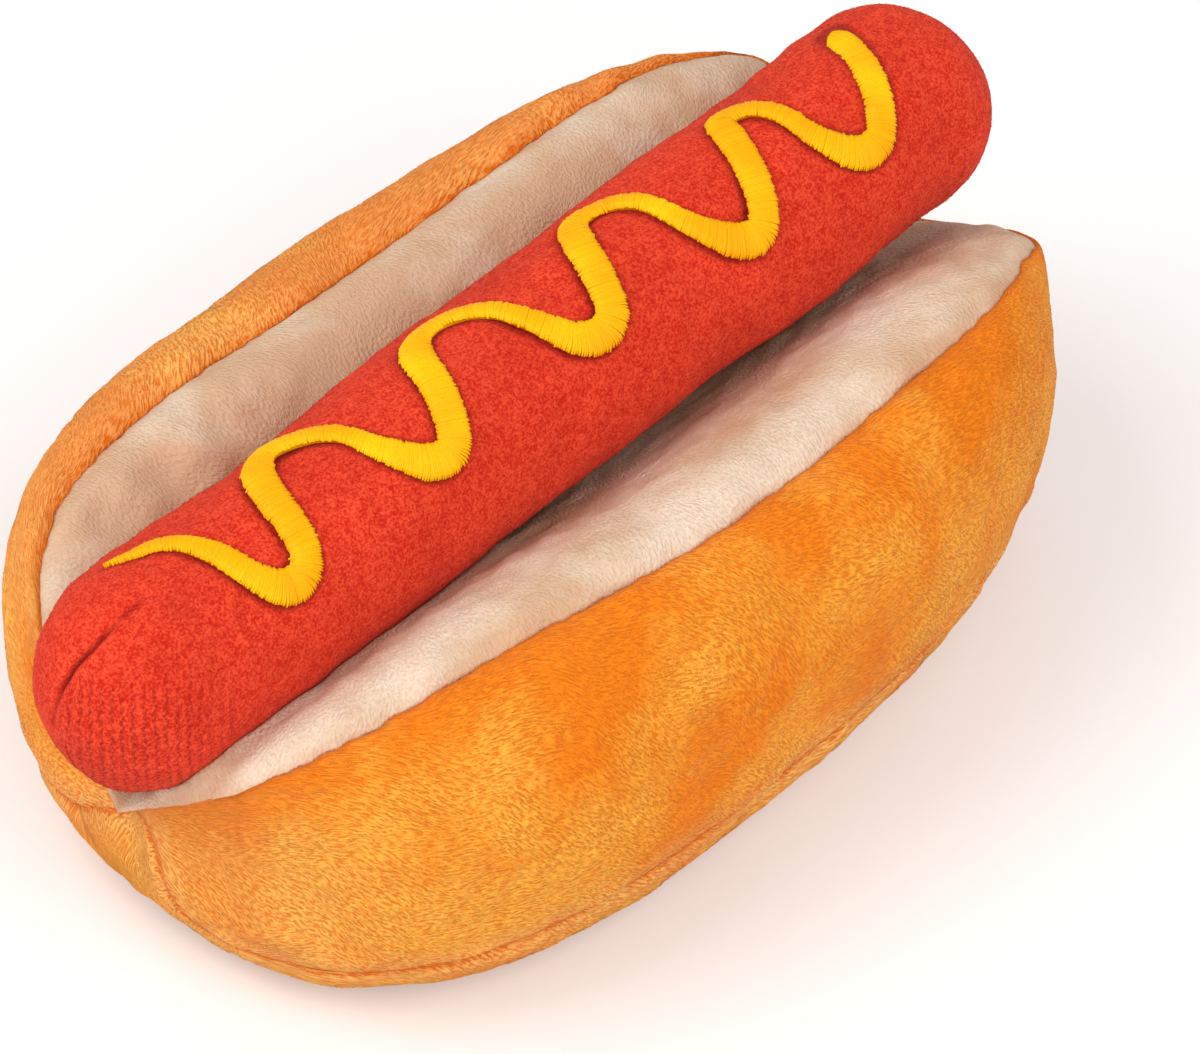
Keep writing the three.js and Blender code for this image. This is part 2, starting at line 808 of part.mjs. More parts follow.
const bulbReach = bulbHeight / 2 + partGap;
const whistleReach = bulbReach + whistleFlangeThickness + partGap;
const sausage = new THREE.Group();
sausage.add(piece('sausage_cover', sausageCover(), 'knit', 0.9));
sausage.add(piece('sausage_filling_near', sausageFilling(-1, bulbReach), 'filling', 1));
sausage.add(piece('sausage_filling_far', sausageFilling(1, whistleReach), 'filling', 1));
sausage.add(piece('mustard_embroidery', mustard(), 'thread', 0.5));
sausage.add(piece('embroidery_backing', backing(), 'backing', 1));
for (let n = 0; n < tackCount; n += 1) {
  const x = (n - (tackCount - 1) / 2) * tackPitch;
  sausage.add(piece(`anchor_tack_${n + 1}`, tack(x), 'knit', 0.8));
}
toy.add(sausage);

const squeaker = new THREE.Group();
squeaker.position.set(0, 0, sausageAxis(0));
squeaker.add(piece('squeaker_bulb', bulb(), 'bulb', 0.6));
squeaker.add(piece('squeaker_whistle', whistle(), 'whistle', 0.4));
const reedBlade = piece('squeaker_reed', reed(), 'whistle', 0.4);
reedBlade.position.x = bulbHeight / 2 + partGap - whistleLength / 2;
squeaker.add(reedBlade);
toy.add(squeaker);

export default toy;
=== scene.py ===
import math

import bpy
import numpy as np
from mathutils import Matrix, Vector
from mathutils.kdtree import KDTree


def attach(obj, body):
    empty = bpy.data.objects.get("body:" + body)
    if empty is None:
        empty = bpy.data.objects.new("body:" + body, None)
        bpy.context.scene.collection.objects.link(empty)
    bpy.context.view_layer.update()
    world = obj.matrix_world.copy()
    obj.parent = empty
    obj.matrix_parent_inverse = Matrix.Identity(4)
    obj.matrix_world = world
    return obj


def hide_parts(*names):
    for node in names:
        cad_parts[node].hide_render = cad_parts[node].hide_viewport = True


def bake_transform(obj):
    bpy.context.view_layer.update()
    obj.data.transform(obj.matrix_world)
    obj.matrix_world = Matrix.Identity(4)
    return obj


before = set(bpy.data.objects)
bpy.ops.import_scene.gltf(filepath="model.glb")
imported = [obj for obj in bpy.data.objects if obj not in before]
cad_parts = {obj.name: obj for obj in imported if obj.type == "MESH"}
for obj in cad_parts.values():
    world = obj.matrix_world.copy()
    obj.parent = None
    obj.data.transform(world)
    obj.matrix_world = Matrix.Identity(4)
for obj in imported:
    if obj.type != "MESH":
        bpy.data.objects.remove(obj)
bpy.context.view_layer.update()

# Lengths are millimetres until a mesh is made.
MM = 0.001

# The sausage: a round bar, capped at both ends, on an axis that rises to the far end.
BAR_RADIUS = 18.0
BAR_HALF = 105.5
BAR_CAP = 18.5
BAR_HEIGHT = 67.0
BAR_RISE = 2.4
BAR_DROOP = 1.0

# The bun's guide curves, as in the part: rim, belly, foot and cleft.
RIM_NEAR, RIM_FAR, RIM_WIDTH, RIM_HEIGHT = 95.0, 97.0, 43.0, 66.0
RIMS = {
    "right": [(-1, 0, .6), (-.968, .467, .845), (-.78, .737, .96), (-.479, .902, 1.02),
              (.008, 1.035, 1), (.613, .965, .976), (.835, .823, .927), (.958, .623, .821),
              (1, 0, .58)],
    "left": [(-1, 0, .6), (-.941, .47, .874), (-.775, .8, .989), (-.499, .958, 1.005),
             (-.007, .977, .973), (.621, .988, .968), (.869, .879, .944), (.98, .649, .856),
             (1, 0, .58)],
}
BELLY_NEAR, BELLY_FAR, BELLY_WIDTH = 89.0, 101.0, 62.0
BELLY_HEIGHT, BELLY_END = 44.0, 25.5
BELLY_SQUARE_NEAR, BELLY_SQUARE_FAR = 2.95, 2.5
FOOT_HALF, FOOT_WIDTH, FOOT_SQUARE = 71.0, 41.0, 2.4
CLEFT_HEIGHT, CLEFT_GAP = 45.0, 0.2
# How full the cloth is between the guide curves, as shares of the way to the next one.
RIM_OUT, RIM_UP, BELLY_UP, BELLY_DOWN, FOOT_OUT = 0.55, 0.15, 0.57, 0.4, 0.59
LINING_RIM_REACH, LINING_RIM_SWELL = 0.36, 8.0
LINING_CLEFT_REACH, LINING_CLEFT_SWELL = 0.38, 5.0
SKIN_GAP = 0.2

# The cloth: its thickness, thinner at the bun's corners and at sewn edges.
PLUSH = 1.8
CORNER_THICKNESS, OPEN_THICKNESS = 0.15, 0.55
HEM_THINNING, HEM_REACH = 0.8, 1.6
CORNER_REACH = 32.0

# Stuffed panels: how far from a seam it acts, how far its painted shade reaches, and the size
# and weight of lumps.
SEAM_TURN, SEAM_CALM, SEAM_GROOVE, SEAM_SHADE_REACH = 3.0, 7.0, 1.7, 0.9
PUCKER_SIZE, PUCKER_REACH, PUCKER_WEIGHT = 9.0, 6.0, 0.35
BIG_LUMPS, SMALL_LUMPS, FINE_LUMPS = (46.0, 0.7), (17.0, 0.35), (6.0, 0.12)
INSET = 0.3
ROOM_SHARE, LIP_ROOM, APART = 0.35, 1.5, 0.35
RIM_WANDER, WANDER_SIZE, WANDER_REACH = 0.16, 3.5, 2.0
SIDE_LUMPS, LINING_LUMPS, BASE_LUMPS = 0.34, 0.3, 0.3
RIM_DEPTH, BASE_SEAM_DEPTH = 1.0, 0.6
FACING = 0.75
WAVES = 28

ROWS = 300
SIDE_COLUMNS, LINING_COLUMNS, BASE_COLUMNS = 118, 110, 150
TIP = 1e-5
SEAM_POINTS = 150

SIGN = {"right": -1.0, "left": 1.0}
UP = np.array([0.0, 0.0, 1.0])
SIDEWAYS = np.array([0.0, 1.0, 0.0])


# --- curves and surfaces ---

def catmull(points, t):
    """A smooth curve through the points, t from 0 to 1."""
    ends = np.vstack([2 * points[0] - points[1], points, 2 * points[-1] - points[-2]])
    place = np.clip(t, 0, 1) * (len(points) - 1)
    i = np.minimum(place.astype(int), len(points) - 2)
    w = (place - i)[..., None]
    a, b, c, d = (ends[i + k] for k in range(4))
    return 0.5 * (2 * b + (c - a) * w + (2 * a - 5 * b + 4 * c - d) * w ** 2
                  + (3 * b - a - 3 * c + d) * w ** 3)


def rim_table(side):
    return np.array([(x * (RIM_NEAR if x < 0 else RIM_FAR), SIGN[side] * y * RIM_WIDTH,
                      z * RIM_HEIGHT) for x, y, z in RIMS[side]])


RIM_POINTS = {side: rim_table(side) for side in RIMS}


def rim(side, u):
    return catmull(RIM_POINTS[side], u)


def power(value, exponent):
    return np.sign(value) * np.abs(value) ** exponent


def belly(side, u):
    along, across = -np.cos(np.pi * u), np.abs(np.sin(np.pi * u))
    exponent = np.where(along < 0, 2 / BELLY_SQUARE_NEAR, 2 / BELLY_SQUARE_FAR)
    length = np.where(along < 0, BELLY_NEAR, BELLY_FAR)
    return np.stack([length * power(along, exponent),
                     SIGN[side] * BELLY_WIDTH * across ** exponent,
                     BELLY_END + (BELLY_HEIGHT - BELLY_END) * across], -1)


def foot(side, u):
    exponent = 2 / FOOT_SQUARE
    across = np.abs(np.sin(np.pi * u)) ** exponent
    return np.stack([FOOT_HALF * power(-np.cos(np.pi * u), exponent),
                     SIGN[side] * FOOT_WIDTH * across, 0 * u], -1)


def bezier(a, b, c, d, t):
    t = t[..., None]
    return (1 - t) ** 3 * a + 3 * t * (1 - t) ** 2 * b + 3 * t * t * (1 - t) * c + t ** 3 * d


def flat(points):
    return points * np.array([1.0, 1.0, 0.0])


def outer(side, u, depth):
    """The bun's outside: depth 0 is the rim, 1 the belly, 2 the foot, 3 the middle line."""
    u, depth = np.broadcast_arrays(np.asarray(u, float), np.asarray(depth, float))
    top, wide, low = rim(side, u), belly(side, u), foot(side, u)
    rise = (top[..., 2:] - wide[..., 2:]) * UP
    upper = bezier(top, top + RIM_OUT * flat(wide - top) + RIM_UP * rise,
                   wide + BELLY_UP * rise, wide, np.clip(depth, 0, 1))
    lower = bezier(wide, wide * np.array([1, 1, BELLY_DOWN]),
                   low + FOOT_OUT * (flat(wide) - low), low, np.clip(depth - 1, 0, 1))
    sole = low * np.stack([np.ones_like(u), np.clip(3 - depth, 0, 1), np.ones_like(u)], -1)
    below = np.where((depth <= 2)[..., None], lower, sole)
    return np.where((depth <= 1)[..., None], upper, below)


def sausage_axis(x):
    """Height of the sausage's axis."""
    share = x / BAR_HALF
    return BAR_HEIGHT + BAR_RISE * share - BAR_DROOP * share ** 2


def sausage_radius(x):
    share = np.clip((np.abs(x) - BAR_HALF + BAR_CAP) / BAR_CAP, 0, 1)
    return BAR_RADIUS * np.sqrt(1 - share ** 2)


def from_axis(points):
    """Height over the sausage's axis, and distance from it."""
    height = points[..., 2] - sausage_axis(points[..., 0])
    return height, np.hypot(points[..., 1], height)


def cleft(side, u):
    """The line at the bottom of the cleft, between the two corners of the rim."""
    right, left = rim("right", u), rim("left", u)
    near, far = RIM_POINTS["right"][0], RIM_POINTS["right"][-1]
    corner = np.where(u < 0.5, near[2], far[2])
    lift = np.sqrt(np.clip(np.sin(np.pi * u), 0, 1))
    even = near[0] + (far[0] - near[0]) * u
    return np.stack([((right + left)[..., 0] / 2 + even) / 2, SIGN[side] * CLEFT_GAP + 0 * u,
                     corner + (CLEFT_HEIGHT - corner) * lift], -1)


def inner(side, u, v):
    """The lining: v 0 is the rim and 1 the cleft. It makes way for the sausage."""
    u, v = np.broadcast_arrays(np.asarray(u, float), np.asarray(v, float))
    top, low = rim(side, u), cleft(side, u)
    reach = flat(low - top)
    swell = np.sin(np.pi * u)[..., None] * UP
    points = bezier(top, top + LINING_RIM_REACH * reach + LINING_RIM_SWELL * swell,
                    low - LINING_CLEFT_REACH * reach + LINING_CLEFT_SWELL * swell, low, v)
    height, away = from_axis(points)
    skin = sausage_radius(points[..., 0]) + SKIN_GAP
    push = np.where(away < skin, skin / np.maximum(away, 1e-6), 1.0)
    return np.stack([points[..., 0], points[..., 1] * push,
                     sausage_axis(points[..., 0]) + height * push], -1)


def waves(points, size, seed):
    """A smooth random field with unit spread, its features about size across."""
    random = np.random.default_rng(seed)
    vectors = random.normal(size=(WAVES, points.shape[-1]))
    pitch = 2 * np.pi / size * random.uniform(0.5, 1.3, WAVES)
    vectors *= (pitch / np.linalg.norm(vectors, axis=1))[:, None]
    phases = random.uniform(0, 2 * np.pi, WAVES)
    total = sum(np.cos(points @ vector + phase) for vector, phase in zip(vectors, phases))
    return total * math.sqrt(2 / WAVES)


def fade(away, reach):
    """1 where away is 0, falling to nothing over about twice the reach."""
    return np.exp(-(away / reach) ** 2)


def spots(points, places):
    """Soft round patches: each is x, y, z, radius and weight."""
    return sum(weight * fade(np.linalg.norm(points - place, axis=-1), radius)
               for *place, radius, weight in places)


def unit(vectors):
    return vectors / np.maximum(np.linalg.norm(vectors, axis=-1, keepdims=True), 1e-9)


def grid_frame(points, outward):
    """Unit normals and unit tangents along the rows of a grid of points."""
    along = np.gradient(points, axis=0)
    across = np.gradient(points, axis=1)
    return unit(np.cross(along, across)) * outward, unit(along)


def arcs(points, axis):
    """Length run along a grid's rows or columns."""
    steps = np.linalg.norm(np.diff(points, axis=axis), axis=-1)
    total = np.cumsum(steps, axis=axis)
    return np.concatenate([np.zeros_like(np.take(total, [0], axis=axis)), total], axis=axis)


def to_line(points, line):
    """Distance from each point to a chain of straight pieces."""
    best = np.full(points.shape[:-1], 1e9)
    for a, b in zip(line, line[1:]):
        span = b - a
        t = np.clip(((points - a) @ span) / max(span @ span, 1e-12), 0, 1)
        away = points - a - t[..., None] * span
        best = np.minimum(best, np.einsum("...k,...k", away, away))
    return np.sqrt(best)


def to_seam(points, line, column):
    """Distance to a sewn line, exactly 0 in the grid's column that lies on it."""
    away = to_line(points, line)
    away[:, column] = 0
    return away


def ease(points):
    """0 at the bun's two corners, where the panels run together, and 1 well away."""
    corners = [RIM_POINTS["right"][end] for end in (0, -1)]
    away = np.minimum(*[np.linalg.norm(points - corner, axis=-1) for corner in corners])
    share = np.clip(away / CORNER_REACH, 0, 1)
    return share * share * (3 - 2 * share)


# --- meshes ---

def put_values(data, key, values, kind=np.float32):
    data.foreach_set(key, np.asarray(values, kind).ravel())


def put_in_scene(name, data):
    made = bpy.data.objects.new(name, data)
    bpy.context.scene.collection.objects.link(made)
    return made


def make_mesh(name, points, faces, material, coords=None, marks=None, smooth=True):
    mesh = bpy.data.meshes.new(name)
    mesh.vertices.add(len(points))
    put_values(mesh.vertices, "co", points * MM)
    mesh.loops.add(faces.size)
    put_values(mesh.loops, "vertex_index", faces, np.int32)
    mesh.polygons.add(len(faces))
    starts = np.arange(len(faces)) * faces.shape[1]
    put_values(mesh.polygons, "loop_start", starts, np.int32)
    put_values(mesh.polygons, "use_smooth", np.full(len(faces), smooth), bool)
    mesh.update(calc_edges=True)
    if coords is not None:
        put_values(mesh.uv_layers.new(name="nap").data, "uv", coords[faces.ravel()])
    for key, values in (marks or {}).items():
        put_values(mesh.attributes.new(key, "FLOAT", "POINT").data, "value", values)
    mesh.materials.append(material)
    return put_in_scene(name, mesh)


def sheet_faces(rows, columns, outward):
    """Quads of a closed body between a front grid and a back grid."""
    index = np.arange(rows * columns).reshape(rows, columns)
    back = index + rows * columns

    def quads(*corners):
        return np.stack([corner.ravel() for corner in corners], 1)

    faces = np.concatenate([
        quads(index[:-1, :-1], index[1:, :-1], index[1:, 1:], index[:-1, 1:]),
        quads(back[:-1, :-1], back[:-1, 1:], back[1:, 1:], back[1:, :-1]),
        quads(index[:-1, 0], back[:-1, 0], back[1:, 0], index[1:, 0]),
        quads(index[:-1, -1], index[1:, -1], back[1:, -1], back[:-1, -1]),
        quads(index[0, :-1], index[0, 1:], back[0, 1:], back[0, :-1]),
        quads(index[-1, :-1], back[-1, :-1], back[-1, 1:], index[-1, 1:]),
    ])
    return faces if outward > 0 else faces[:, ::-1]


def cloth(name, points, normals, coords, outward, material, marks, edge):
    """A closed piece of cloth: the given face, and a back a cloth's thickness under it."""
    thick = PLUSH * (CORNER_THICKNESS + OPEN_THICKNESS * ease(points))
    thick = (thick * (1 - HEM_THINNING * fade(edge, HEM_REACH)))[..., None]
    both = np.concatenate([points.reshape(-1, 3), (points - normals * thick).reshape(-1, 3)])
    twice = {key: np.tile(values.ravel(), 2) for key, values in marks.items()}
    return make_mesh(name, both, sheet_faces(*points.shape[:2], outward), material,
                     np.tile(coords.reshape(-1, 2), (2, 1)), twice)


def fibres(name, points, normals, along, coords, count, length, width, rise, wander, seed,
           material, marks, edge, floor=-99.0, astray=0.2):
    """Short fibres on a grid of points, each a closed sliver leaning along the nap."""
    random = np.random.default_rng(seed)
    a, b, c, d = points[:-1, :-1], points[1:, :-1], points[1:, 1:], points[:-1, 1:]
    area = (np.linalg.norm(np.cross(c - a, b - d), axis=-1) / 2).ravel()
    picked = np.searchsorted(np.cumsum(area) / area.sum(), random.uniform(size=count))
    picked = np.minimum(picked, area.size - 1)
    i, j = np.divmod(picked, points.shape[1] - 1)
    s, t = random.uniform(size=(2, count))

    def at(grid):
        shape = (count,) + (1,) * (grid.ndim - 2)
        ss, tt = s.reshape(shape), t.reshape(shape)
        return ((1 - ss) * (1 - tt) * grid[i, j] + ss * (1 - tt) * grid[i + 1, j]
                + ss * tt * grid[i + 1, j + 1] + (1 - ss) * tt * grid[i, j + 1])

    root, normal, ahead, place = at(points), unit(at(normals)), at(along), at(coords)
    ahead = unit(ahead - normal * np.sum(ahead * normal, -1, keepdims=True))
    side = np.cross(normal, ahead)
    # The nap turns in broad swirls, in small tufts, and fibre by fibre.
    turn = (waves(root, 42.0, 901) * 0.6 + waves(root, 8.0, 902) * 0.3 + wander
            + random.normal(size=count) * astray)[:, None]
    ahead, side = (ahead * np.cos(turn) + side * np.sin(turn),
                   side * np.cos(turn) - ahead * np.sin(turn))
    lift = (rise * (1 + random.normal(size=count) * 0.4))[:, None]
    reach = (length * random.uniform(0.6, 1.15, count))[:, None]
    reach *= (1 - 0.7 * fade(at(edge), 2.5))[:, None]
    half = (width * random.uniform(0.6, 1.2, count) / 2)[:, None]
    tip = root + ahead * reach + normal * np.maximum(np.sin(lift) * reach, 0.01)
    waist = (root + ahead * reach * 0.4
             + normal * np.maximum(np.sin(lift) * reach * 0.6, 0.015))
    for spot in (tip, waist):
        spot[:, 2] = np.maximum(spot[:, 2], floor)
    kite = [root - normal * 0.03, waist + side * half, waist - side * half, tip]
    verts = np.stack(kite, 1).reshape(-1, 3)
    corners = np.array([(0, 2, 1), (1, 2, 3), (0, 1, 3), (0, 3, 2)])
    faces = (np.arange(count)[:, None, None] * 4 + corners[None]).reshape(-1, 3)
    extra = {key: np.repeat(at(values), 4) for key, values in marks.items()}
    extra["tip"] = np.tile([0.0, 0.0, 0.0, 1.0], count)
    piece = make_mesh(name, verts, faces, material, np.repeat(place, 4, axis=0), extra,
                      smooth=False)
    ground = piece.data.attributes.new("ground", "FLOAT_VECTOR", "POINT")
    put_values(ground.data, "vector", np.repeat(normal, 4, axis=0))
    return piece


# --- materials ---

class Look:
    """The nodes of a material or the world, made one at a time."""

    def __init__(self, name, data=None):
        self.material = data or bpy.data.materials.new(name)
        self.material.use_nodes = True
        self.tree = self.material.node_tree
        self.shader = self.tree.nodes.get("Principled BSDF")

    def feed(self, socket, value):
        if isinstance(value, bpy.types.NodeSocket):
            self.tree.links.new(value, socket)
        else:
            socket.default_value = value

    def put(self, made, key, value):
        """Key is a socket's name, or i and its number."""
        names = {socket.name.replace(" ", "_").lower(): socket
                 for socket in reversed(made.inputs)}
        numbered = key[0] == "i" and key[1:].isdigit()
        self.feed(made.inputs[int(key[1:])] if numbered else names[key], value)

    def node(self, kind, settings=None, **inputs):
        made = self.tree.nodes.new("ShaderNode" + kind)
        for key, value in (settings or {}).items():
            setattr(made, key, value)
        for key, value in inputs.items():
            self.put(made, key, value)
        return made

    def place(self):
        """Along and down the nap, in millimetres."""
        return self.node("UVMap", {"uv_map": "nap"}).outputs[0]

    def spot(self):
        return self.node("TexCoord").outputs["Object"]

    def chance(self):
        """A random number for each fibre or stitch."""
        return self.node("NewGeometry").outputs["Random Per Island"]

    def noise(self, vector, scale, detail=2.0, roughness=0.5, dimensions="3D"):
        made = self.node("TexNoise", {"noise_dimensions": dimensions}, vector=vector,
                         scale=scale, detail=detail, roughness=roughness)
        return made.outputs["Fac"]

    def swayed(self, place, scale, detail, reach):
        """Coordinates shifted by a noise in each direction."""
        made = self.node("TexNoise", vector=self.spot(), scale=scale, detail=detail)
        shift = self.vector_math("MULTIPLY", made.outputs["Color"], reach)
        return self.vector_math("ADD", place, shift)

    def math(self, operation, a, b=0.0, clamp=False):
        made = self.node("Math", {"operation": operation, "use_clamp": clamp}, i0=a, i1=b)
        return made.outputs[0]

    def times(self, a, b):
        return self.math("MULTIPLY", a, b)

    def vector_math(self, operation, a, b):
        return self.node("VectorMath", {"operation": operation}, i0=a, i1=b).outputs[0]

    def ramp(self, value, low, high):
        return self.node("MapRange", {"clamp": True}, i0=value, i1=low, i2=high).outputs[0]

    def mix(self, share, a, b):
        return self.node("Mix", {"data_type": "RGBA"}, i0=share, i6=a, i7=b).outputs[2]

    def attribute(self, name):
        return self.node("Attribute", {"attribute_name": name}).outputs["Fac"]

    def surface(self, colour, roughness, bump=None, sheen=0.0, tint=None,
                sheen_roughness=0.5, specular=0.3):
        """Bump is a height, its distance and its strength."""
        values = dict(base_color=colour, roughness=roughness, specular_ior_level=specular,
                      sheen_weight=sheen, sheen_roughness=sheen_roughness)
        if tint:
            values["sheen_tint"] = tint
        if bump:
            made = self.node("Bump", height=bump[0], distance=bump[1], strength=bump[2])
            values["normal"] = made.outputs[0]
        for key, value in values.items():
            self.put(self.shader, key, value)
        return self.material

    def shade_as_ground(self):
        """Fibres take the light as the cloth under them does."""
        ground = self.node("Attribute", {"attribute_name": "ground"}).outputs["Vector"]
        turned = self.node("VectorTransform", {"vector_type": "NORMAL",
                                               "convert_from": "OBJECT",
                                               "convert_to": "WORLD"}, vector=ground)
        self.put(self.shader, "normal", turned.outputs[0])
        return self.material


def srgb(red, green, blue):
    def linear(value):
        return value / 12.92 if value <= 0.04045 else ((value + 0.055) / 1.055) ** 2.4
    return (linear(red), linear(green), linear(blue), 1.0)


def plush(name, dark, middle, light, groove, pale_colour, sheen, tint, turns, dashes, depth, relief,
          fibre):
    """Short-pile plush: light tips over a ground deepened by painted shade in short dashes,
    the pile's partings, and along seams; brushed lighter or darker in patches."""
    look = Look(name)
    spot, swayed = look.spot(), look.swayed(look.place(), 40.0, 2.0, (7.0, 7.0, 0.0))
    streaks = []
    for turn in turns:
        turned = look.node("Mapping", {"vector_type": "TEXTURE"}, vector=swayed,
                           rotation=(0, 0, math.radians(turn)), scale=(*dashes, 1.0))
        streaks.append(look.noise(turned.outputs[0], 1.0, 1.2, 0.5, "2D"))
    brushing = look.ramp(look.noise(spot, 48.0, 1.0), 0.42, 0.58)
    streak = look.node("Mix", {"data_type": "FLOAT"}, i0=brushing, i2=streaks[0],
                       i3=streaks[1]).outputs[0]
    grain = look.noise(spot, 2300.0, 2.0, 0.6)
    dash = look.math("SUBTRACT", 1.0, look.ramp(streak, 0.36, 0.6))
    patches = look.noise(spot, 60.0, 3.0, 0.6)
    tone = look.math("ADD", look.ramp(patches, 0.3, 0.7), look.attribute("brush_and_painted_light"))
    body = look.mix(look.ramp(tone, 0.05, 0.95), dark, light)
    body = look.mix(0.25, body, middle)
    # The pale mark: painted sheen on the left lobe and painted highlight on the near end;
    # elsewhere the pile is only made paler along the base seams.
    body = look.mix(look.attribute("pale"), body, pale_colour)
    # Painted shade: the groove colour darkens the pile's partings (the dashes) and, a little,
    # its fine grain.
    shade = look.math("ADD", look.times(dash, depth),
                      look.times(look.ramp(grain, 0.6, 0.35), 0.2))
    if fibre:
        # Fibres take half of the painted shade, and less toward their tips.
        shade = look.math("ADD", look.times(shade, 0.5), look.times(look.chance(), 0.15))
        shade = look.math("SUBTRACT", shade, look.times(look.attribute("tip"), 0.15))
    # Painted shade along seams, in the creases beside the stitching.
    seam = look.times(look.attribute("seam"), 0.5)
    body = look.mix(look.math("ADD", shade, seam, True), body, groove)
    pile = dict(sheen=sheen, tint=tint, sheen_roughness=0.35, specular=0.15)
    if fibre:
        look.surface(body, 0.85, **pile)
        return look.shade_as_ground()
    height = look.math("ADD", look.ramp(streak, 0.3, 0.7), look.times(grain, 0.3))
    return look.surface(body, 0.85, (height, relief, 0.7), **pile)


# groove is the colour of painted shade in the pile's partings and seams; the pale colour is
# painted sheen where the pale mark is set on the left lobe and the near end.
ORANGE = dict(dark=srgb(0.95, 0.48, 0.02), middle=srgb(0.98, 0.63, 0.17),
              light=srgb(0.99, 0.73, 0.28), groove=srgb(0.85, 0.40, 0.02),
              pale_colour=srgb(0.97, 0.80, 0.56), sheen=0.22, tint=srgb(1.0, 0.75, 0.5),
              turns=(52, 18), dashes=(1.7, 0.4), depth=0.68, relief=0.0005)
CREAM = dict(dark=srgb(0.79, 0.62, 0.47), middle=srgb(0.87, 0.78, 0.69),
             light=srgb(0.90, 0.83, 0.75), groove=srgb(0.80, 0.63, 0.49),
             pale_colour=srgb(0.95, 0.88, 0.80), sheen=0.08, tint=srgb(1.0, 0.9, 0.8),
             turns=(70, 110), dashes=(0.9, 0.5), depth=0.3, relief=0.00025)
# In the red, groove is painted shade between the stitches and also the darker blotches; deep is
# painted shade in the dart, the closing seam and round the squiggle.
RED = dict(dark=srgb(0.77, 0.11, 0.045), middle=srgb(0.90, 0.21, 0.105),
           light=srgb(0.97, 0.33, 0.20), groove=srgb(0.58, 0.04, 0.02),
           deep=srgb(0.45, 0.03, 0.02), sheen=0.35, tint=srgb(1.0, 0.42, 0.34))
WALE_WIDTH, STITCH_LENGTH = 1.7, 1.5


def knit(name, dark, middle, light, groove, deep, sheen, tint, fibre):
    """Brushed knit: short stitches in wales, under a felted fuzz."""
    look = Look(name)
    spot = look.spot()
    fuzz = look.noise(spot, 2100.0, 3.0, 0.7)
    blotch = look.noise(spot, 600.0, 3.0, 0.6)
    patches = look.noise(spot, 70.0, 2.0, 0.5)
    loops = look.vector_math("MULTIPLY", look.place(), (1 / WALE_WIDTH, 1 / STITCH_LENGTH, 0))
    split = look.node("SeparateXYZ", vector=look.swayed(loops, 500.0, 1.0, (0.7, 1.1, 0.0)))
    wale = look.math("PINGPONG", split.outputs[0], 0.5)
    offset = look.times(look.math("FLOOR", split.outputs[0]), 0.37)
    row = look.math("PINGPONG", look.math("ADD", split.outputs[1], offset), 0.5)
    stitch = look.times(look.ramp(wale, 0.3, 0.0), look.ramp(row, 0.42, 0.1))
    stitch = look.times(stitch, look.attribute("wale"))
    tone = look.math("ADD", look.times(look.ramp(fuzz, 0.38, 0.62), 0.72),
                     look.times(look.ramp(blotch, 0.38, 0.62), 0.28))
    body = look.mix(look.ramp(tone, 0.2, 0.85), dark, light)
    body = look.mix(0.15, body, middle)
    body = look.mix(look.times(look.ramp(patches, 0.35, 0.7), 0.2), body, groove)
    # Painted shade between the stitches of the wales.
    body = look.mix(look.times(stitch, 0.7), body, groove)
    if fibre:
        pale = look.math("SUBTRACT", look.chance(), 0.5, True)
        body = look.mix(look.times(pale, 0.7), body, light)
    # Painted shade in the dart, the closing seam and the crease round the squiggle.
    body = look.mix(look.attribute("seam"), body, deep)
    pile = dict(sheen=sheen, tint=tint, sheen_roughness=0.4, specular=0.15)
    if fibre:
        look.surface(body, 0.9, **pile)
        return look.shade_as_ground()
    height = look.math("SUBTRACT", look.math("ADD", fuzz, blotch), look.times(stitch, 0.7))
    return look.surface(body, 0.9, (height, 0.0005, 0.8), **pile)


def thread_look():
    """Satin thread: each stitch a little different, with painted sheen in patches of lighter
    yellow.
    """
    look = Look("satin_thread")
    chance, spot = look.chance(), look.spot()
    ply = look.noise(spot, 2600.0, 2.0)
    body = look.mix(look.ramp(chance, 0.0, 1.0), srgb(0.95, 0.655, 0.0),
                    srgb(0.965, 0.7, 0.0))
    # Painted sheen: broad patches of lighter yellow.
    shine = look.ramp(look.noise(spot, 75.0, 1.0), 0.42, 0.68)
    body = look.mix(look.times(shine, 0.6), body, srgb(0.97, 0.83, 0.05))
    body = look.mix(look.times(look.ramp(ply, 0.45, 0.75), 0.25), body,
                    srgb(0.82, 0.5, 0.0))
    return look.surface(body, 0.5, (ply, 0.0001, 0.4), sheen_roughness=0.3, specular=0.12)


def fibre_fill_look():
    look = Look("fibre_filling")
    curls = look.noise(look.spot(), 700.0, 5.0, 0.7)
    body = look.mix(look.ramp(curls, 0.3, 0.7), srgb(0.86, 0.85, 0.82),
                    srgb(0.99, 0.985, 0.97))
    return look.surface(body, 0.95, (curls, 0.0012, 0.8), 0.2, srgb(1, 1, 1), specular=0.2)


def plastic(name, low, high, roughness, grain):
    look = Look(name)
    mottle = look.noise(look.spot(), grain, 4.0, 0.6)
    body = look.mix(look.ramp(mottle, 0.3, 0.7), low, high)
    rough = look.math("ADD", look.times(mottle, 0.15), roughness)
    return look.surface(body, rough, (mottle, 0.00008, 0.4), specular=0.5)


# --- bun ---

# The seam between a side panel and the base panel: its depth on the bun's outside, and
# at each corner how soon and how evenly it runs down from the rim.
SEAM_DEPTH = 1.37
SEAM_RUNS = {"right": (0.0012, 0.6), "left": (0.0157, 0.42)}
FAR_RUN = SEAM_RUNS["left"]
# The base panel's ends: the share of its length, and the depth of the middle line there.
NOSE = 0.14
NOSE_TOP, NOSE_DROP = 0.1, 1.9

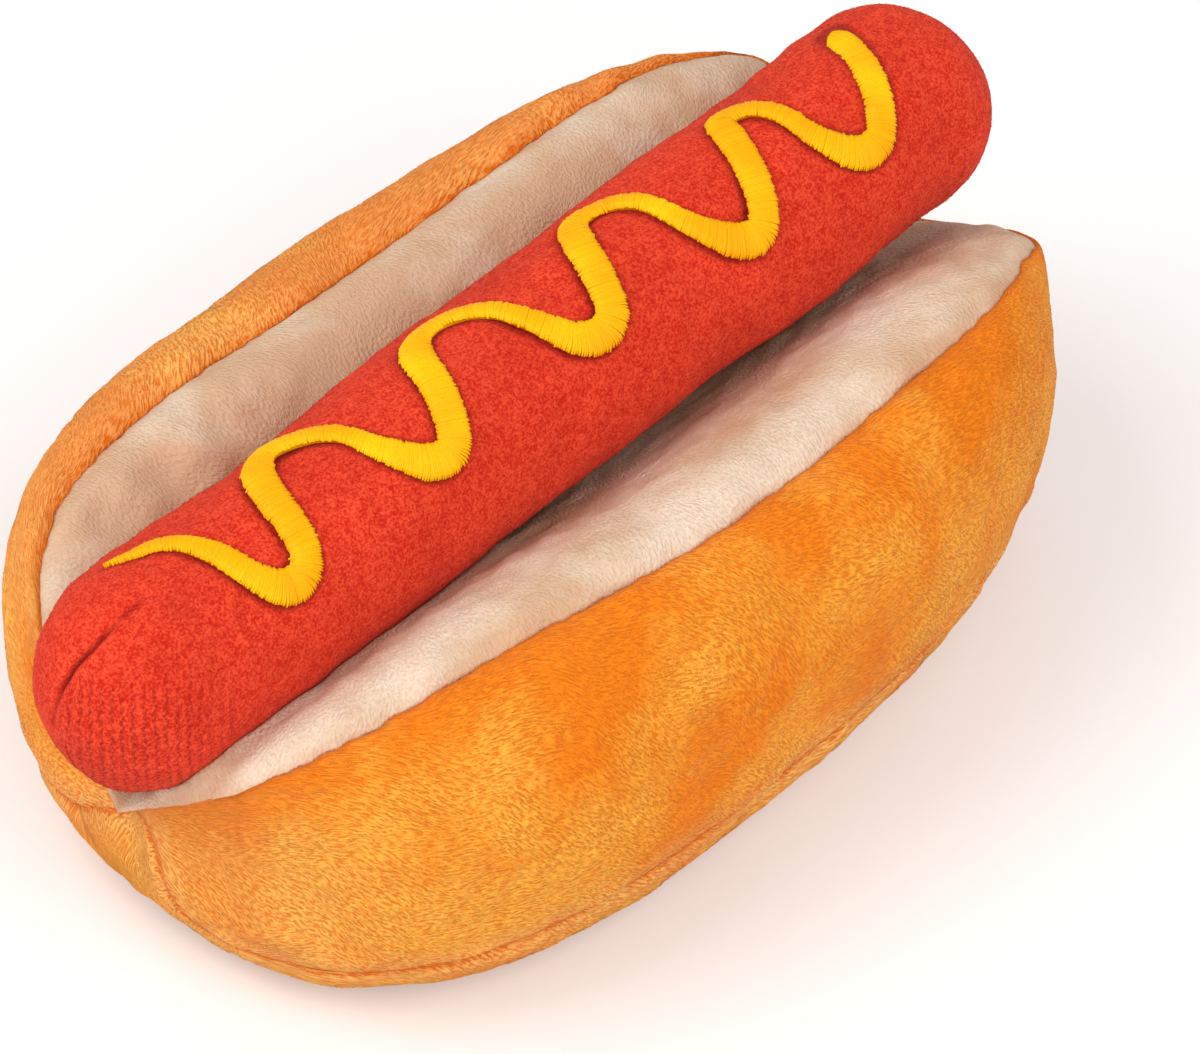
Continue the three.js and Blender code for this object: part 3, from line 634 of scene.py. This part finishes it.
NAP_FIBRES = 16000
ORANGE_NAP = dict(count=NAP_FIBRES, length=1.3, width=0.17, rise=0.045)
CREAM_NAP = dict(count=NAP_FIBRES, length=0.55, width=0.11, rise=0.06)

# Patches of the pile that are brushed lighter or darker, and dents in the panels; the last
# right-hand patch is a painted highlight on the near lower end.
BRUSHED_AND_HIGHLIGHT = {
    "right": [(-40, -52, 64, 9, -0.35), (-26, -61, 49, 5, -0.45), (-24, -61, 33, 6, -0.5),
              (-73, -46, 24, 10, -0.3), (-1, -52, 66, 9, -0.25), (-81, -32, 60, 9, -0.3),
              (-60, -56, 40, 16, 0.3), (37, -60, 30, 14, 0.25), (14, -60, 55, 10, -0.15),
              (-80, -30, 38, 20, 0.6)],
    "left": [],
}
SIDE_DENTS = {
    "right": [(-24, -62, 38, 8, -0.8), (-32, -58, 58, 7, -0.6), (-84, -30, 30, 9, -0.7)],
    "left": [],
}
# The lining's dents also get painted shade in them, and its bulges painted highlight, through
# the brush mark.
LINING_DENTS = {
    "right": [(-40, -25, 65, 6, -0.5), (-4, -23, 60, 7, -0.6), (31, -24, 61, 7, -0.5)],
    "left": [(-54.6, 31, 66, 4, -1.6), (-53.0, 25, 66, 4, -1.4), (-46.5, 30, 66, 4, 1.3),
             (-45.5, 24, 66, 4, 0.8), (-67.5, 30, 66.5, 5, -1.6), (-17, 30, 65, 6, -0.5)],
}
# A painted highlight on the right lobe's near end, and less of the left lobe's painted sheen at
# its near end.
NEAR_END_HIGHLIGHT = [(-84, -22, 28, 20, 0.18)]
NEAR_END_LESS_SHEEN = [(-92, 18, 45, 18, -0.3)]


def along_bun(count):
    """Steps from corner to corner, close together at both."""
    share = np.linspace(0, 1, count)
    return TIP + (1 - 2 * TIP) * (1 - np.cos(np.pi * share)) / 2


def base_seam(side, u):
    """Depth of the seam between a side panel and the base panel."""
    depth = SEAM_DEPTH
    for share, run in ((u, SEAM_RUNS[side]), (1 - u, FAR_RUN)):
        depth = depth * (1 - np.exp(-(np.maximum(share, 1e-9) / run[0]) ** run[1]))
    return depth


SEAM_U = along_bun(SEAM_POINTS)


def seam_line(side):
    return outer(side, SEAM_U, base_seam(side, SEAM_U))


def face_normal(surface, side, u, v, du, dv):
    along = surface(side, u + du, v) - surface(side, u - du, v)
    down = surface(side, u, v + dv) - surface(side, u, v - dv)
    return unit(np.cross(along, down)) * SIGN[side]


def outer_normal(side, u, depth):
    u, depth = np.clip(u, 0.003, 0.997), np.clip(depth, 2e-3, 2.99)
    return face_normal(outer, side, u, depth, 1e-3, 1e-3)


def inner_normal(side, u, v):
    u, v = np.clip(u, 0.01, 0.99), np.clip(v, 0.02, 0.98)
    return -face_normal(inner, side, u, v, 2e-3, 5e-3)


def room_under(points, other):
    """Distance from each point to the nearest point of another grid."""
    tree = KDTree(other[..., 0].size)
    for n, spot in enumerate(other.reshape(-1, 3).tolist()):
        tree.insert(spot, n)
    tree.balance()
    away = [tree.find(spot)[2] for spot in points.reshape(-1, 3).tolist()]
    return np.array(away).reshape(points.shape[:2])


def settled(moved, normals, outward, edge):
    """A moved grid with its own normals, or the old ones where it is too narrow to tell."""
    faced, along = grid_frame(moved, outward)
    true = (np.sum(faced * normals, -1) > FACING)[..., None]
    return moved, np.where(true, faced, normals), along, edge


def relief(points, normals, outward, seed, lumps, seams, dents=(), room=None, wander=None):
    """A stuffed panel: soft lumps, dents, and seams drawn in with puckers beside them.

    A seam is the distance to it, the direction in which it is drawn (the normal where it
    is None) and its depth. Room is the distance to the panel behind, and wander a seam's
    distance and the direction in which its line wavers.
    """
    shape = points.shape[:2]
    free, kept = np.ones(shape), np.ones(shape)
    drawn, edge = np.zeros(shape), np.full(shape, 99.0)
    turned = np.zeros(points.shape)
    pull = waves(points, PUCKER_SIZE, seed + 8)
    for n, (away, direction, depth) in enumerate(seams):
        alone = np.ones(shape)
        for m, (other, _, _) in enumerate(seams):
            if m != n:
                alone = alone * (other + 1e-4) / (other + away + 2e-4)
        if direction is not None:
            share = fade(away, SEAM_TURN) * alone
            turned += direction * share[..., None]
            kept -= share
        free = free * (1 - fade(away, SEAM_CALM))
        drawn -= depth * np.exp(-(away / SEAM_GROOVE) ** 1.5) * alone
        drawn += (PUCKER_WEIGHT * pull * fade(away, PUCKER_REACH)
                  * np.clip(away / 2.0, 0, 1) * alone)
        edge = np.minimum(edge, away)
    kept = np.clip(kept, 0, 1)
    ways = normals * kept[..., None] + turned
    soft = lumps * (BIG_LUMPS[1] * waves(points, BIG_LUMPS[0], seed)
                    + SMALL_LUMPS[1] * waves(points, SMALL_LUMPS[0], seed + 5))
    fine = FINE_LUMPS[1] * waves(points, FINE_LUMPS[0], seed + 6)
    lift = free * (soft + fine + spots(points, dents)) - INSET + drawn
    apart = np.zeros(shape)
    if room is not None:
        lift = np.maximum(lift, -ROOM_SHARE * room - LIP_ROOM * (1 - kept))
        apart = np.clip(APART - room / 2, 0, APART) * (1 - fade(edge, 2.0))
    moved = points + ways * (lift * ease(points))[..., None] + normals * apart[..., None]
    if wander is not None:
        away, direction = wander
        share = (RIM_WANDER * waves(points, WANDER_SIZE, 77) * fade(away, WANDER_REACH)
                 * ease(points))
        moved = moved + direction * share[..., None]
    return settled(moved, normals, outward, edge)


def nap_coords(points, column):
    """Along and down a panel, in millimetres; along is measured in one column."""
    down, across = arcs(points, 1), arcs(points, 0)
    return np.stack([across[:, column][:, None] + 0 * down, down], -1)


def panel(name, grid, coords, outward, looks, marks, nap):
    """A panel's cloth and the nap on it."""
    moved, normals, along, edge = grid
    shell = cloth(f"{name}_cloth", moved, normals, coords, outward, looks[0], marks, edge)
    pile = fibres(f"{name}_nap", moved, normals, along, coords, **nap, material=looks[1],
                  marks=marks, edge=edge)
    return shell, pile


def side_panel(side):
    u = along_bun(ROWS)[:, None]
    seam = base_seam(side, u)
    v = np.linspace(0, 1, SIDE_COLUMNS)[None, :]
    points = outer(side, u, seam * v)
    to_base = to_seam(points, seam_line(side), -1)
    to_rim = to_seam(points, rim(side, SEAM_U), 0)
    room = room_under(points, inner(side, u, np.linspace(0, 1, 60)[None, :]))
    grid = relief(
        points, outer_normal(side, u, seam * v), SIGN[side], {"right": 11, "left": 12}[side],
        SIDE_LUMPS, [(to_rim, UP, RIM_DEPTH), (to_base, None, BASE_SEAM_DEPTH)],
        SIDE_DENTS[side], room, (to_rim, SIDEWAYS * SIGN[side]))
    # The brush mark: brushed patches, and a painted highlight on the right lobe's near lower
    # end.
    brush_and_painted_light = (spots(points, BRUSHED_AND_HIGHLIGHT[side]) + 0.16 * waves(points, 30.0, 31)
             - 0.35 * fade(to_rim, 9.0))
    pale = 0.3 * fade(to_base, 5.0)
    # Painted sheen: the left lobe's pile is paler all over, most at the rim, with some taken
    # off at its near end.
    if side == "left":
        pale = pale + 0.2 + 0.12 * fade(to_rim, 7.0) + spots(points, NEAR_END_LESS_SHEEN)
    # Painted highlight on the right lobe's near end.
    pale = pale + spots(points, NEAR_END_HIGHLIGHT)
    # Painted shade along the seams, through the seam mark.
    marks = {"brush_and_painted_light": brush_and_painted_light, "pale": pale, "seam": fade(grid[3], SEAM_SHADE_REACH)}
    shell, pile = panel(f"bun_side_{side}", grid, nap_coords(points, SIDE_COLUMNS // 2),
                        SIGN[side], orange, marks,
                        dict(ORANGE_NAP, wander=0.65 * SIGN[side], seed=100))
    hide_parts(f"bun_side_{side}")
    return shell, pile


def skin_lift(points):
    """How far the sausage's skin stands out from its plain form."""
    return 0.3 * waves(points, 38.0, 51) + 0.12 * waves(points, 9.0, 52) - 0.35


def against_sausage(base, moved):
    """Where a lining is pressed to the sausage, it lies on the sausage's skin."""
    height, away = from_axis(base)
    radius = sausage_radius(base[..., 0])
    held = fade(np.maximum(away - radius - SKIN_GAP, 0), 0.8)[..., None]
    out = np.stack([0 * height, base[..., 1], height], -1)
    skin = base + unit(out) * (skin_lift(base) + radius + 0.08 - away)[..., None]
    return moved + (skin - moved) * held


def lining_panel(side):
    u = along_bun(ROWS)[:, None]
    v = np.linspace(0, 1, LINING_COLUMNS)[None, :]
    points = inner(side, u, v)
    outward = -SIGN[side]
    plain = inner_normal(side, u, v)
    to_rim = to_seam(points, rim(side, SEAM_U), 0)
    to_cleft = to_seam(points, cleft(side, SEAM_U), -1)
    room = room_under(points, outer(side, u, np.linspace(0, 1.3, 80)[None, :]))
    moved, _, _, edge = relief(
        points, plain, outward, {"right": 21, "left": 22}[side], LINING_LUMPS,
        [(to_rim, UP, RIM_DEPTH), (to_cleft, UP, 0.0)], LINING_DENTS[side], room,
        (to_rim, SIDEWAYS * SIGN[side]))
    moved = against_sausage(points, moved)
    moved[..., 1] -= SIGN[side] * CLEFT_GAP * fade(to_cleft, 2.0)
    coords = nap_coords(points, LINING_COLUMNS // 3)
    brush_and_painted_light = 0.1
    # Painted shade: the left lining darkens toward the near end and down toward the sausage.
    if side == "left":
        brush_and_painted_light = -0.5 + 0.6 * u - 0.5 * np.clip(coords[..., 1] / 16.0 - 0.3, 0, 1)
    # Painted shade in the dents and painted highlight on the bulges.
    brush_and_painted_light = brush_and_painted_light + 0.2 * waves(points, 24.0, 33) + 0.35 * spots(points, LINING_DENTS[side])
    # Painted shade along the lining's seams at the rim and the cleft.
    marks = {"brush_and_painted_light": brush_and_painted_light, "pale": 0 * brush_and_painted_light, "seam": 0.6 * fade(edge, 0.8)}
    shell, pile = panel(f"bun_lining_{side}", settled(moved, plain, outward, edge), coords,
                        outward, cream, marks,
                        dict(CREAM_NAP, wander=0.9 * SIGN[side], seed=200))
    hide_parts(f"bun_lining_{side}")
    return shell, pile


def base_panel():
    """The boat-shaped sole, from the right seam across the middle line to the left one."""
    share = np.linspace(0, 1, ROWS)[:, None]
    v = np.linspace(0, 1, BASE_COLUMNS)[None, :]
    edge_u = along_bun(ROWS)[:, None]
    to_middle = (1 - np.abs(1 - 2 * v)) ** 1.4
    from_end = np.minimum(share, 1 - share)
    spine_u = np.clip((share - NOSE) / (1 - 2 * NOSE), 0, 1)
    deepest = np.maximum(base_seam("right", edge_u), base_seam("left", edge_u))
    nose_depth = np.maximum(NOSE_TOP + NOSE_DROP * from_end / NOSE, deepest)
    spine_depth = np.where(from_end < NOSE, nose_depth, 3.0)
    halves, facing = [], []
    for side in ("right", "left"):
        seam = base_seam(side, edge_u)
        u = edge_u + (spine_u - edge_u) * to_middle
        depth = seam + (spine_depth - seam) * to_middle
        halves.append(outer(side, u, depth))
        facing.append(outer_normal(side, u, depth))
    first = (v < 0.5)[..., None]
    points = np.where(first, halves[0], halves[1])
    normals = np.where(first, facing[0], facing[1])
    seams = [(to_seam(points, seam_line(side), column), None, BASE_SEAM_DEPTH)
             for side, column in (("right", 0), ("left", -1))]
    # The two halves' normals agree on the middle line.
    calm = (np.clip(np.minimum(seams[0][0], seams[1][0]) / 3.0, 0, 1)
            * fade(points[..., 1], 4.0))
    normals = unit(normals * np.stack([1 + 0 * calm, 1 - calm, 1 + 0 * calm], -1))
    grid = relief(points, normals, -1.0, 41, BASE_LUMPS, seams)
    grid[0][..., 2] = np.maximum(grid[0][..., 2], 0.35)
    # Painted shade along the seams, through the seam mark; the pile is also paler near them.
    marks = {"brush_and_painted_light": 0.3 + 0.15 * waves(points, 30.0, 35), "pale": 0.35 * fade(grid[3], 6.0),
             "seam": fade(grid[3], SEAM_SHADE_REACH)}
    shell, pile = panel("bun_base", grid, nap_coords(points, BASE_COLUMNS // 2), -1.0,
                        orange, marks, dict(ORANGE_NAP, wander=0.1, seed=300, floor=0.05))
    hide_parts("bun_base_panel")
    return shell, pile


# --- sausage ---

# The knit's wales hang upright at the near end, side by side in this direction.
WALE_ACROSS = np.array([0.675, -0.738, 0.0])
# The dart that draws in the near end, from the top of the sausage to its tip.
DART = np.array([(-87.6, -.8, 83), (-93.6, -.9, 81.5), (-98.5, .3, 78.3),
                 (-101.8, 2, 74.6), (-104, 2.9, 70.2), (-105, 3.3, 66.5),
                 (-105.5, 3.6, 62.5)])
# Guide points of the squiggle: along the sausage, round it from the top, and its width.
BAND = np.array([
    (-85.6, -10.4, .15), (-82, -7.5, 2.4), (-79, -6.1, 3), (-76.2, -2.6, 3.4), (-74, 3.4, 4.5),
    (-72.4, 9.2, 4.9), (-69.5, 13.5, 5.9), (-66, 14.2, 5.9), (-63, 12, 5.6),
    (-61.5, 7.5, 5.6), (-60, 1, 5.7), (-57.2, -4.8, 5.4), (-52.4, -8, 4.6),
    (-47.3, -5.7, 3.8), (-43, -1.1, 3.6), (-40.5, 5.5, 4.6), (-36, 11.5, 5.9),
    (-31.5, 13, 6), (-28.5, 10.5, 5.9), (-25.5, 4.5, 5.8), (-21.8, -4.2, 5.6),
    (-17.5, -8, 4.6), (-11.5, -7.5, 3.6), (-6.5, -2.5, 3.7), (-4, 3, 4.4), (-.5, 10, 5.7),
    (4.5, 12.5, 5.9), (8.5, 10.5, 5.8), (10.5, 6, 5.8), (14.3, -2.4, 5.6),
    (18.5, -7.6, 4.8), (23.5, -6.9, 3.8), (28, -2.6, 3.8), (30.5, 6.5, 4.4), (35, 13, 5.9),
    (40, 15, 6), (43.5, 12, 5.6), (46, 7, 5.6), (50.1, -2.3, 5.4), (52.4, -6.2, 4.7),
    (57, -4.5, 3.7), (59.4, .4, 3.9), (60.5, 7.5, 4.5), (64.5, 13.5, 5.8),
    (69.5, 14.7, 5.8), (73.5, 11, 5.5), (77.5, 4, 5.4), (80.5, -4.5, 5.2),
    (81.3, -6.8, 5.2)])
BAR_ROWS, BAR_COLUMNS = 330, 200
FUZZ = dict(count=30000, length=0.6, width=0.12, rise=0.22, wander=0.0, astray=1.2)


def bar_rings(count):
    """x and radius of rings from the near tip to the far one, even along the skin."""
    angle = np.linspace(0, np.pi / 2, 60)
    straight = BAR_HALF - BAR_CAP
    x = np.concatenate([-straight - BAR_CAP * np.cos(angle),
                        straight + BAR_CAP * np.sin(angle)])
    radius = np.concatenate([BAR_RADIUS * np.sin(angle), BAR_RADIUS * np.cos(angle)])
    length = np.concatenate([[0], np.cumsum(np.hypot(np.diff(x), np.diff(radius)))])
    even = np.linspace(0.25, length[-1] - 0.25, count)
    return np.interp(even, length, x), np.interp(even, length, radius)


def to_band(points):
    """Distance from the skin's points to the edge of the squiggle."""
    around = BAR_RADIUS * np.arctan2(-points[..., 1], from_axis(points)[0])
    line = catmull(BAND, np.linspace(0, 1, 500))
    place = np.stack([points[..., 0], around], -1).reshape(-1, 1, 2)
    away = [np.min(np.linalg.norm(part - line[:, :2], axis=-1) - line[:, 2] / 2, axis=1)
            for part in np.array_split(place, 40)]
    return np.concatenate(away).reshape(around.shape)


def sausage():
    rows, columns = BAR_ROWS, BAR_COLUMNS
    x, radius = bar_rings(rows)
    angle = np.linspace(-np.pi / 2, 1.5 * np.pi, columns + 1)[:-1]
    points = np.stack([x[:, None] + 0 * angle, radius[:, None] * np.cos(angle),
                       sausage_axis(x)[:, None] + radius[:, None] * np.sin(angle)], -1)
    wrapped = np.concatenate([points[:, -1:], points, points[:, :1]], 1)
    normals = grid_frame(wrapped, -1.0)[0][:, 1:-1]
    dart = to_line(points, DART)
    closing = BAR_RADIUS * np.abs(np.mod(angle + 1.5 * np.pi, 2 * np.pi) - np.pi)
    closing = np.broadcast_to(closing, dart.shape)
    band = to_band(points)
    fold = 0.45 + 0.55 * np.clip((points[..., 2] - BAR_HEIGHT) / 6.0, 0, 1)
    lift = skin_lift(points)
    lift -= 0.25 * fade(band, 1.2)
    lift -= fold * (0.9 * fade(dart, 0.65) + 0.35 * fade(dart, 3.0))
    lift -= 0.7 * fade(closing, 0.9)
    moved = points + normals * lift[..., None]
    tip = BAR_HALF - 0.4
    tips = np.array([[-tip, 0, sausage_axis(-BAR_HALF)],
                     [tip, 0, sausage_axis(BAR_HALF)]])
    index = np.arange(rows * columns).reshape(rows, columns)
    turned = np.roll(index, -1, axis=1)
    quads = np.stack([index[:-1], turned[:-1], turned[1:], index[1:]], -1).reshape(-1, 4)
    near = np.stack([index[0], index[0] * 0 + rows * columns, turned[0]], -1)
    far = np.stack([index[-1], turned[-1], index[-1] * 0 + rows * columns + 1], -1)
    tris = np.concatenate([quads[:, [0, 1, 2]], quads[:, [0, 2, 3]], near, far])
    coords = np.stack([points @ WALE_ACROSS, -points[..., 2]], -1)
    tip_coords = np.stack([tips @ WALE_ACROSS, -tips[:, 2]], -1)
    wale = (np.clip((-82 - points[..., 0]) / 12.0, 0, 1)
            * np.clip((79 - points[..., 2]) / 7.0, 0, 1))
    wale *= np.clip((5 - points[..., 1]) / 6.0, 0, 1)
    # Painted shade: the seam mark darkens the dart's crease, the closing seam underneath and a
    # thin line round the squiggle's edge.
    seam = np.maximum(fold * fade(dart, 0.5), 0.75 * fade(closing, 0.6))
    seam = np.maximum(seam, 0.6 * fade(np.maximum(band - 0.25, 0), 0.45))
    skin = make_mesh("sausage_knit", np.concatenate([moved.reshape(-1, 3), tips]), tris,
                     knit_red, np.concatenate([coords.reshape(-1, 2), tip_coords]),
                     {"wale": np.concatenate([wale.ravel(), [1.0, 0.0]]),
                      "seam": np.concatenate([seam.ravel(), [0, 0]])})
    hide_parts("sausage_cover")
    grids = (moved, normals, coords, wale, seam, np.minimum(dart, closing))
    closed = [np.concatenate([grid, grid[:, :1]], 1) for grid in grids]
    fuzz = fibres("sausage_fuzz", closed[0], closed[1], unit(np.gradient(closed[0], axis=0)),
                  closed[2], **FUZZ, seed=131, material=knit_red_fibre,
                  marks={"wale": closed[3], "seam": closed[4]}, edge=closed[5])
    return skin, fuzz


# --- embroidery ---

STITCH_PITCH = 0.33
STITCH_STATIONS, STITCH_SIDES = 9, 5
END_ROUNDING = 2.8
UNDERLAY_COLUMNS = 9


def on_sausage(along, around, height):
    angle = np.pi / 2 + around / BAR_RADIUS
    radius = sausage_radius(along) + height
    return np.stack([along, radius * np.cos(angle),
                     sausage_axis(along) + radius * np.sin(angle)], -1)


def embroidery():
    """Satin stitches laid side by side across the squiggle, over an underlay."""
    line = catmull(BAND, np.linspace(0, 1, 6000))
    length = np.concatenate([[0], np.cumsum(np.hypot(*np.diff(line[:, :2], axis=0).T))])
    total = length[-1]
    count = int(total / STITCH_PITCH)
    even = np.linspace(0, total, count)
    middle = np.stack([np.interp(even, length, line[:, k]) for k in range(3)], -1)
    ahead = unit(np.gradient(middle[:, :2], axis=0))
    across = np.stack([-ahead[:, 1], ahead[:, 0]], -1)
    close = np.clip((total - even) / END_ROUNDING, 0, 1)
    half = middle[:, 2] / 2 * np.maximum(np.sqrt(1 - (1 - close) ** 2), 0.08)
    random = np.random.default_rng(61)
    ends = np.maximum(half[:, None] + random.normal(size=(count, 2)) * 0.1, 0.06)
    stations = np.linspace(-1, 1, STITCH_STATIONS)
    slant = random.normal(size=count) * 0.04
    reach = np.where(stations < 0, ends[:, :1], ends[:, 1:]) * stations
    lean = slant[:, None] + 0.08 * reach
    spot = (middle[:, None, :2] + across[:, None, :] * reach[..., None]
            + ahead[:, None, :] * lean[..., None])
    crown = np.sqrt(np.clip(1 - np.abs(stations) ** 2.4, 0, 1))
    ring = np.linspace(0, 2 * np.pi, STITCH_SIDES, endpoint=False)
    radius = np.minimum(0.3, 0.12 + half / 3) * (1 + random.normal(size=count) * 0.05)
    height = 0.05 + 0.62 * crown + random.normal(size=count)[:, None] * 0.014
    thick = radius[:, None] * np.clip(0.55 + 0.6 * crown, 0.55, 1)
    swing = np.cos(ring)[None, None, :, None] * thick[..., None, None]
    place = spot[..., None, :] + ahead[:, None, None, :] * swing
    lift = height[..., None] + np.sin(ring) * thick[..., None]
    tube = on_sausage(place[..., 0], place[..., 1], lift).reshape(count, -1, 3)
    per = STITCH_STATIONS * STITCH_SIDES
    tris = []
    for k in range(STITCH_STATIONS - 1):
        for m in range(STITCH_SIDES):
            a, b = k * STITCH_SIDES + m, k * STITCH_SIDES + (m + 1) % STITCH_SIDES
            tris += [(a, b, b + STITCH_SIDES), (a, b + STITCH_SIDES, a + STITCH_SIDES)]
    last = per - STITCH_SIDES
    for m in range(1, STITCH_SIDES - 1):
        tris += [(0, m + 1, m), (last, last + m, last + m + 1)]
    faces = (np.arange(count)[:, None, None] * per + np.array(tris)[None]).reshape(-1, 3)
    stitches = make_mesh("mustard_stitches", tube.reshape(-1, 3), faces, satin)
    v = np.linspace(-1, 1, UNDERLAY_COLUMNS)
    inset = np.maximum(half - 0.35, 0.05)
    spread = middle[:, None, :2] + across[:, None, :] * (inset[:, None] * v)[..., None]
    crest = 0.1 + 0.42 * np.sqrt(1 - v ** 2)[None] + 0 * inset[:, None]
    top = on_sausage(spread[..., 0], spread[..., 1], crest)
    low = on_sausage(spread[..., 0], spread[..., 1], -0.6 + 0 * crest)
    both = np.concatenate([top.reshape(-1, 3), low.reshape(-1, 3)])
    pad = make_mesh("mustard_underlay", both, sheet_faces(count, UNDERLAY_COLUMNS, 1), satin)
    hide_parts("mustard_embroidery")
    return stitches, pad


# --- filling ---

FIBRE_VOXEL = 0.004
LOBE_SLACK, SAUSAGE_SLACK = 2.5, 1.0


def filling(name, node, body, slack, pressed_by=None):
    """Loose fibre in the space of a CAD filling: the same form, slacker and lumpy."""
    piece = put_in_scene(name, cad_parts[node].data.copy())
    remesh = piece.modifiers.new("remesh", "REMESH")
    remesh.mode = "VOXEL"
    remesh.voxel_size = FIBRE_VOXEL
    graph = bpy.context.evaluated_depsgraph_get()
    result = bpy.data.meshes.new_from_object(piece.evaluated_get(graph))
    piece.modifiers.clear()
    piece.data = result
    spot = np.zeros(len(result.vertices) * 3, np.float32)
    normal = np.zeros(len(result.vertices) * 3, np.float32)
    result.vertices.foreach_get("co", spot)
    result.vertices.foreach_get("normal", normal)
    spot, normal = spot.reshape(-1, 3) / MM, normal.reshape(-1, 3)
    spot = spot - normal * (slack + 0.6 * waves(spot.astype(float), 14.0, 71))[:, None]
    put_values(result.vertices, "co", spot * MM)
    put_values(result.polygons, "use_smooth", np.ones(len(result.polygons)), bool)
    result.materials.clear()
    result.materials.append(fill_material)
    result.update()
    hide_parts(node)
    if pressed_by:
        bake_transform(piece)
    else:
        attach(piece, body)


# --- building ---

orange = [plush("bun_plush", fibre=False, **ORANGE), plush("bun_pile", fibre=True, **ORANGE)]
cream = [plush("lining_plush", fibre=False, **CREAM), plush("lining_pile", fibre=True, **CREAM)]
knit_red = knit("sausage_knit", fibre=False, **RED)
knit_red_fibre = knit("sausage_fuzz", fibre=True, **RED)
satin = thread_look()
fill_material = fibre_fill_look()

for side in ("right", "left"):
    for piece in side_panel(side):
        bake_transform(piece)
    for piece in lining_panel(side):
        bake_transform(piece)
for piece in base_panel():
    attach(piece, "base")
for piece in sausage():
    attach(piece, "base")
for piece in embroidery():
    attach(piece, "base")

filling("lobe_fibre_right", "lobe_filling_right", "lobe_right", LOBE_SLACK)
filling("lobe_fibre_left", "lobe_filling_left", "lobe_left", LOBE_SLACK)
filling("base_fibre", "base_filling", "base", LOBE_SLACK)
filling("flank_fibre_right", "flank_wadding_right", "base", LOBE_SLACK, "lobe_right")
filling("flank_fibre_left", "flank_wadding_left", "base", LOBE_SLACK, "lobe_left")
filling("sausage_fibre_near", "sausage_filling_near", "base", SAUSAGE_SLACK)
filling("sausage_fibre_far", "sausage_filling_far", "base", SAUSAGE_SLACK)

bulb = plastic("squeaker_bulb", srgb(0.92, 0.9, 0.84), srgb(0.97, 0.96, 0.91), 0.45, 180)
whistle = plastic("squeaker_whistle", srgb(0.87, 0.86, 0.83), srgb(0.93, 0.92, 0.9), 0.25, 300)
backing = plastic("stabiliser", srgb(0.93, 0.93, 0.92), srgb(0.98, 0.98, 0.97), 0.8, 900)
for node, material in (("squeaker_bulb", bulb), ("squeaker_whistle", whistle),
                       ("squeaker_reed", whistle), ("embroidery_backing", backing),
                       *((f"anchor_tack_{n}", knit_red) for n in (1, 2, 3))):
    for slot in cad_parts[node].material_slots:
        slot.material = material

# --- floor, light and camera ---

FLOOR_HALF, FLOOR_WHITENING = 4, 0.2
WORLD_LIGHT, WORLD_SEEN = 0.55, 1.0
LAMP_AIM = 0.04
# Name, azimuth, elevation, distance, size and power.
LAMPS = [("key", -125, 55, 1.4, 1.0, 9.0), ("fill", -14, 40, 1.8, 1.4, 20),
         ("left", -115, 14, 1.3, 0.9, 5)]
AZIMUTH, ELEVATION, DISTANCE = -47.55, 42.23, 1.171
LENS, AIM_RIGHT, AIM_DOWN = 219.56, 0.01118, 0.02351

floor_mesh = bpy.data.meshes.new("floor")
floor_mesh.from_pydata([(x * FLOOR_HALF, y * FLOOR_HALF, 0)
                        for x, y in ((-1, -1), (1, -1), (1, 1), (-1, 1))], [], [(0, 1, 2, 3)])
floor = put_in_scene("floor", floor_mesh)
look = Look("floor")
paths = look.node("LightPath")
seen = look.math("MAXIMUM", paths.outputs["Is Camera Ray"],
                 look.math("MAXIMUM", paths.outputs["Is Glossy Ray"],
                           paths.outputs["Is Transmission Ray"]))
look.surface(srgb(0.88, 0.87, 0.862), 0.9, specular=0.0)
white = look.node("Emission", strength=look.times(seen, FLOOR_WHITENING))
both = look.node("AddShader", i0=look.shader.outputs[0], i1=white.outputs[0])
look.tree.links.new(both.outputs[0], look.tree.nodes["Material Output"].inputs[0])
floor_mesh.materials.append(look.material)

world = bpy.data.worlds.new("studio")
bpy.context.scene.world = world
sky = Look("studio", world)
paths = sky.node("LightPath")
seen = sky.math("MAXIMUM", paths.outputs["Is Camera Ray"],
                paths.outputs["Is Transmission Ray"])
level = sky.node("MapRange", i0=seen, i3=WORLD_LIGHT, i4=WORLD_SEEN)
back = sky.tree.nodes["Background"]
sky.put(back, "color", (1, 1, 1, 1))
sky.put(back, "strength", level.outputs[0])


def bearing(azimuth, elevation):
    """The direction from the object to a lamp or the camera, from angles in degrees."""
    a, e = math.radians(azimuth), math.radians(elevation)
    return Vector((math.sin(a) * math.cos(e), -math.cos(a) * math.cos(e), math.sin(e)))


def aimed(name, data, location, rotation):
    made = put_in_scene(name, data)
    made.location = location
    made.rotation_mode = "QUATERNION"
    made.rotation_quaternion = rotation
    return made


for name, azimuth, elevation, away, size, watts in LAMPS:
    data = bpy.data.lights.new(name, "AREA")
    data.energy = watts
    data.size = size
    direction = bearing(azimuth, elevation)
    aimed(name, data, direction * away + Vector((0, 0, LAMP_AIM)),
          (-direction).to_track_quat("-Z", "Y"))

toward = bearing(AZIMUTH, ELEVATION)
across = (-toward).cross(Vector((0, 0, 1))).normalized()
upward = across.cross(-toward)
target = Vector((0, 0, BAR_HEIGHT * MM))
location = target + toward * DISTANCE
aim = target + across * AIM_RIGHT - upward * AIM_DOWN
turn = (-toward).rotation_difference(aim - location)
camera_data = bpy.data.cameras.new("camera")
camera_data.lens = LENS
camera_data.clip_start = 0.01
bpy.context.scene.camera = aimed("camera", camera_data, location,
                                 turn @ (-toward).to_track_quat("-Z", "Y"))
bpy.context.scene.view_settings.view_transform = "Standard"
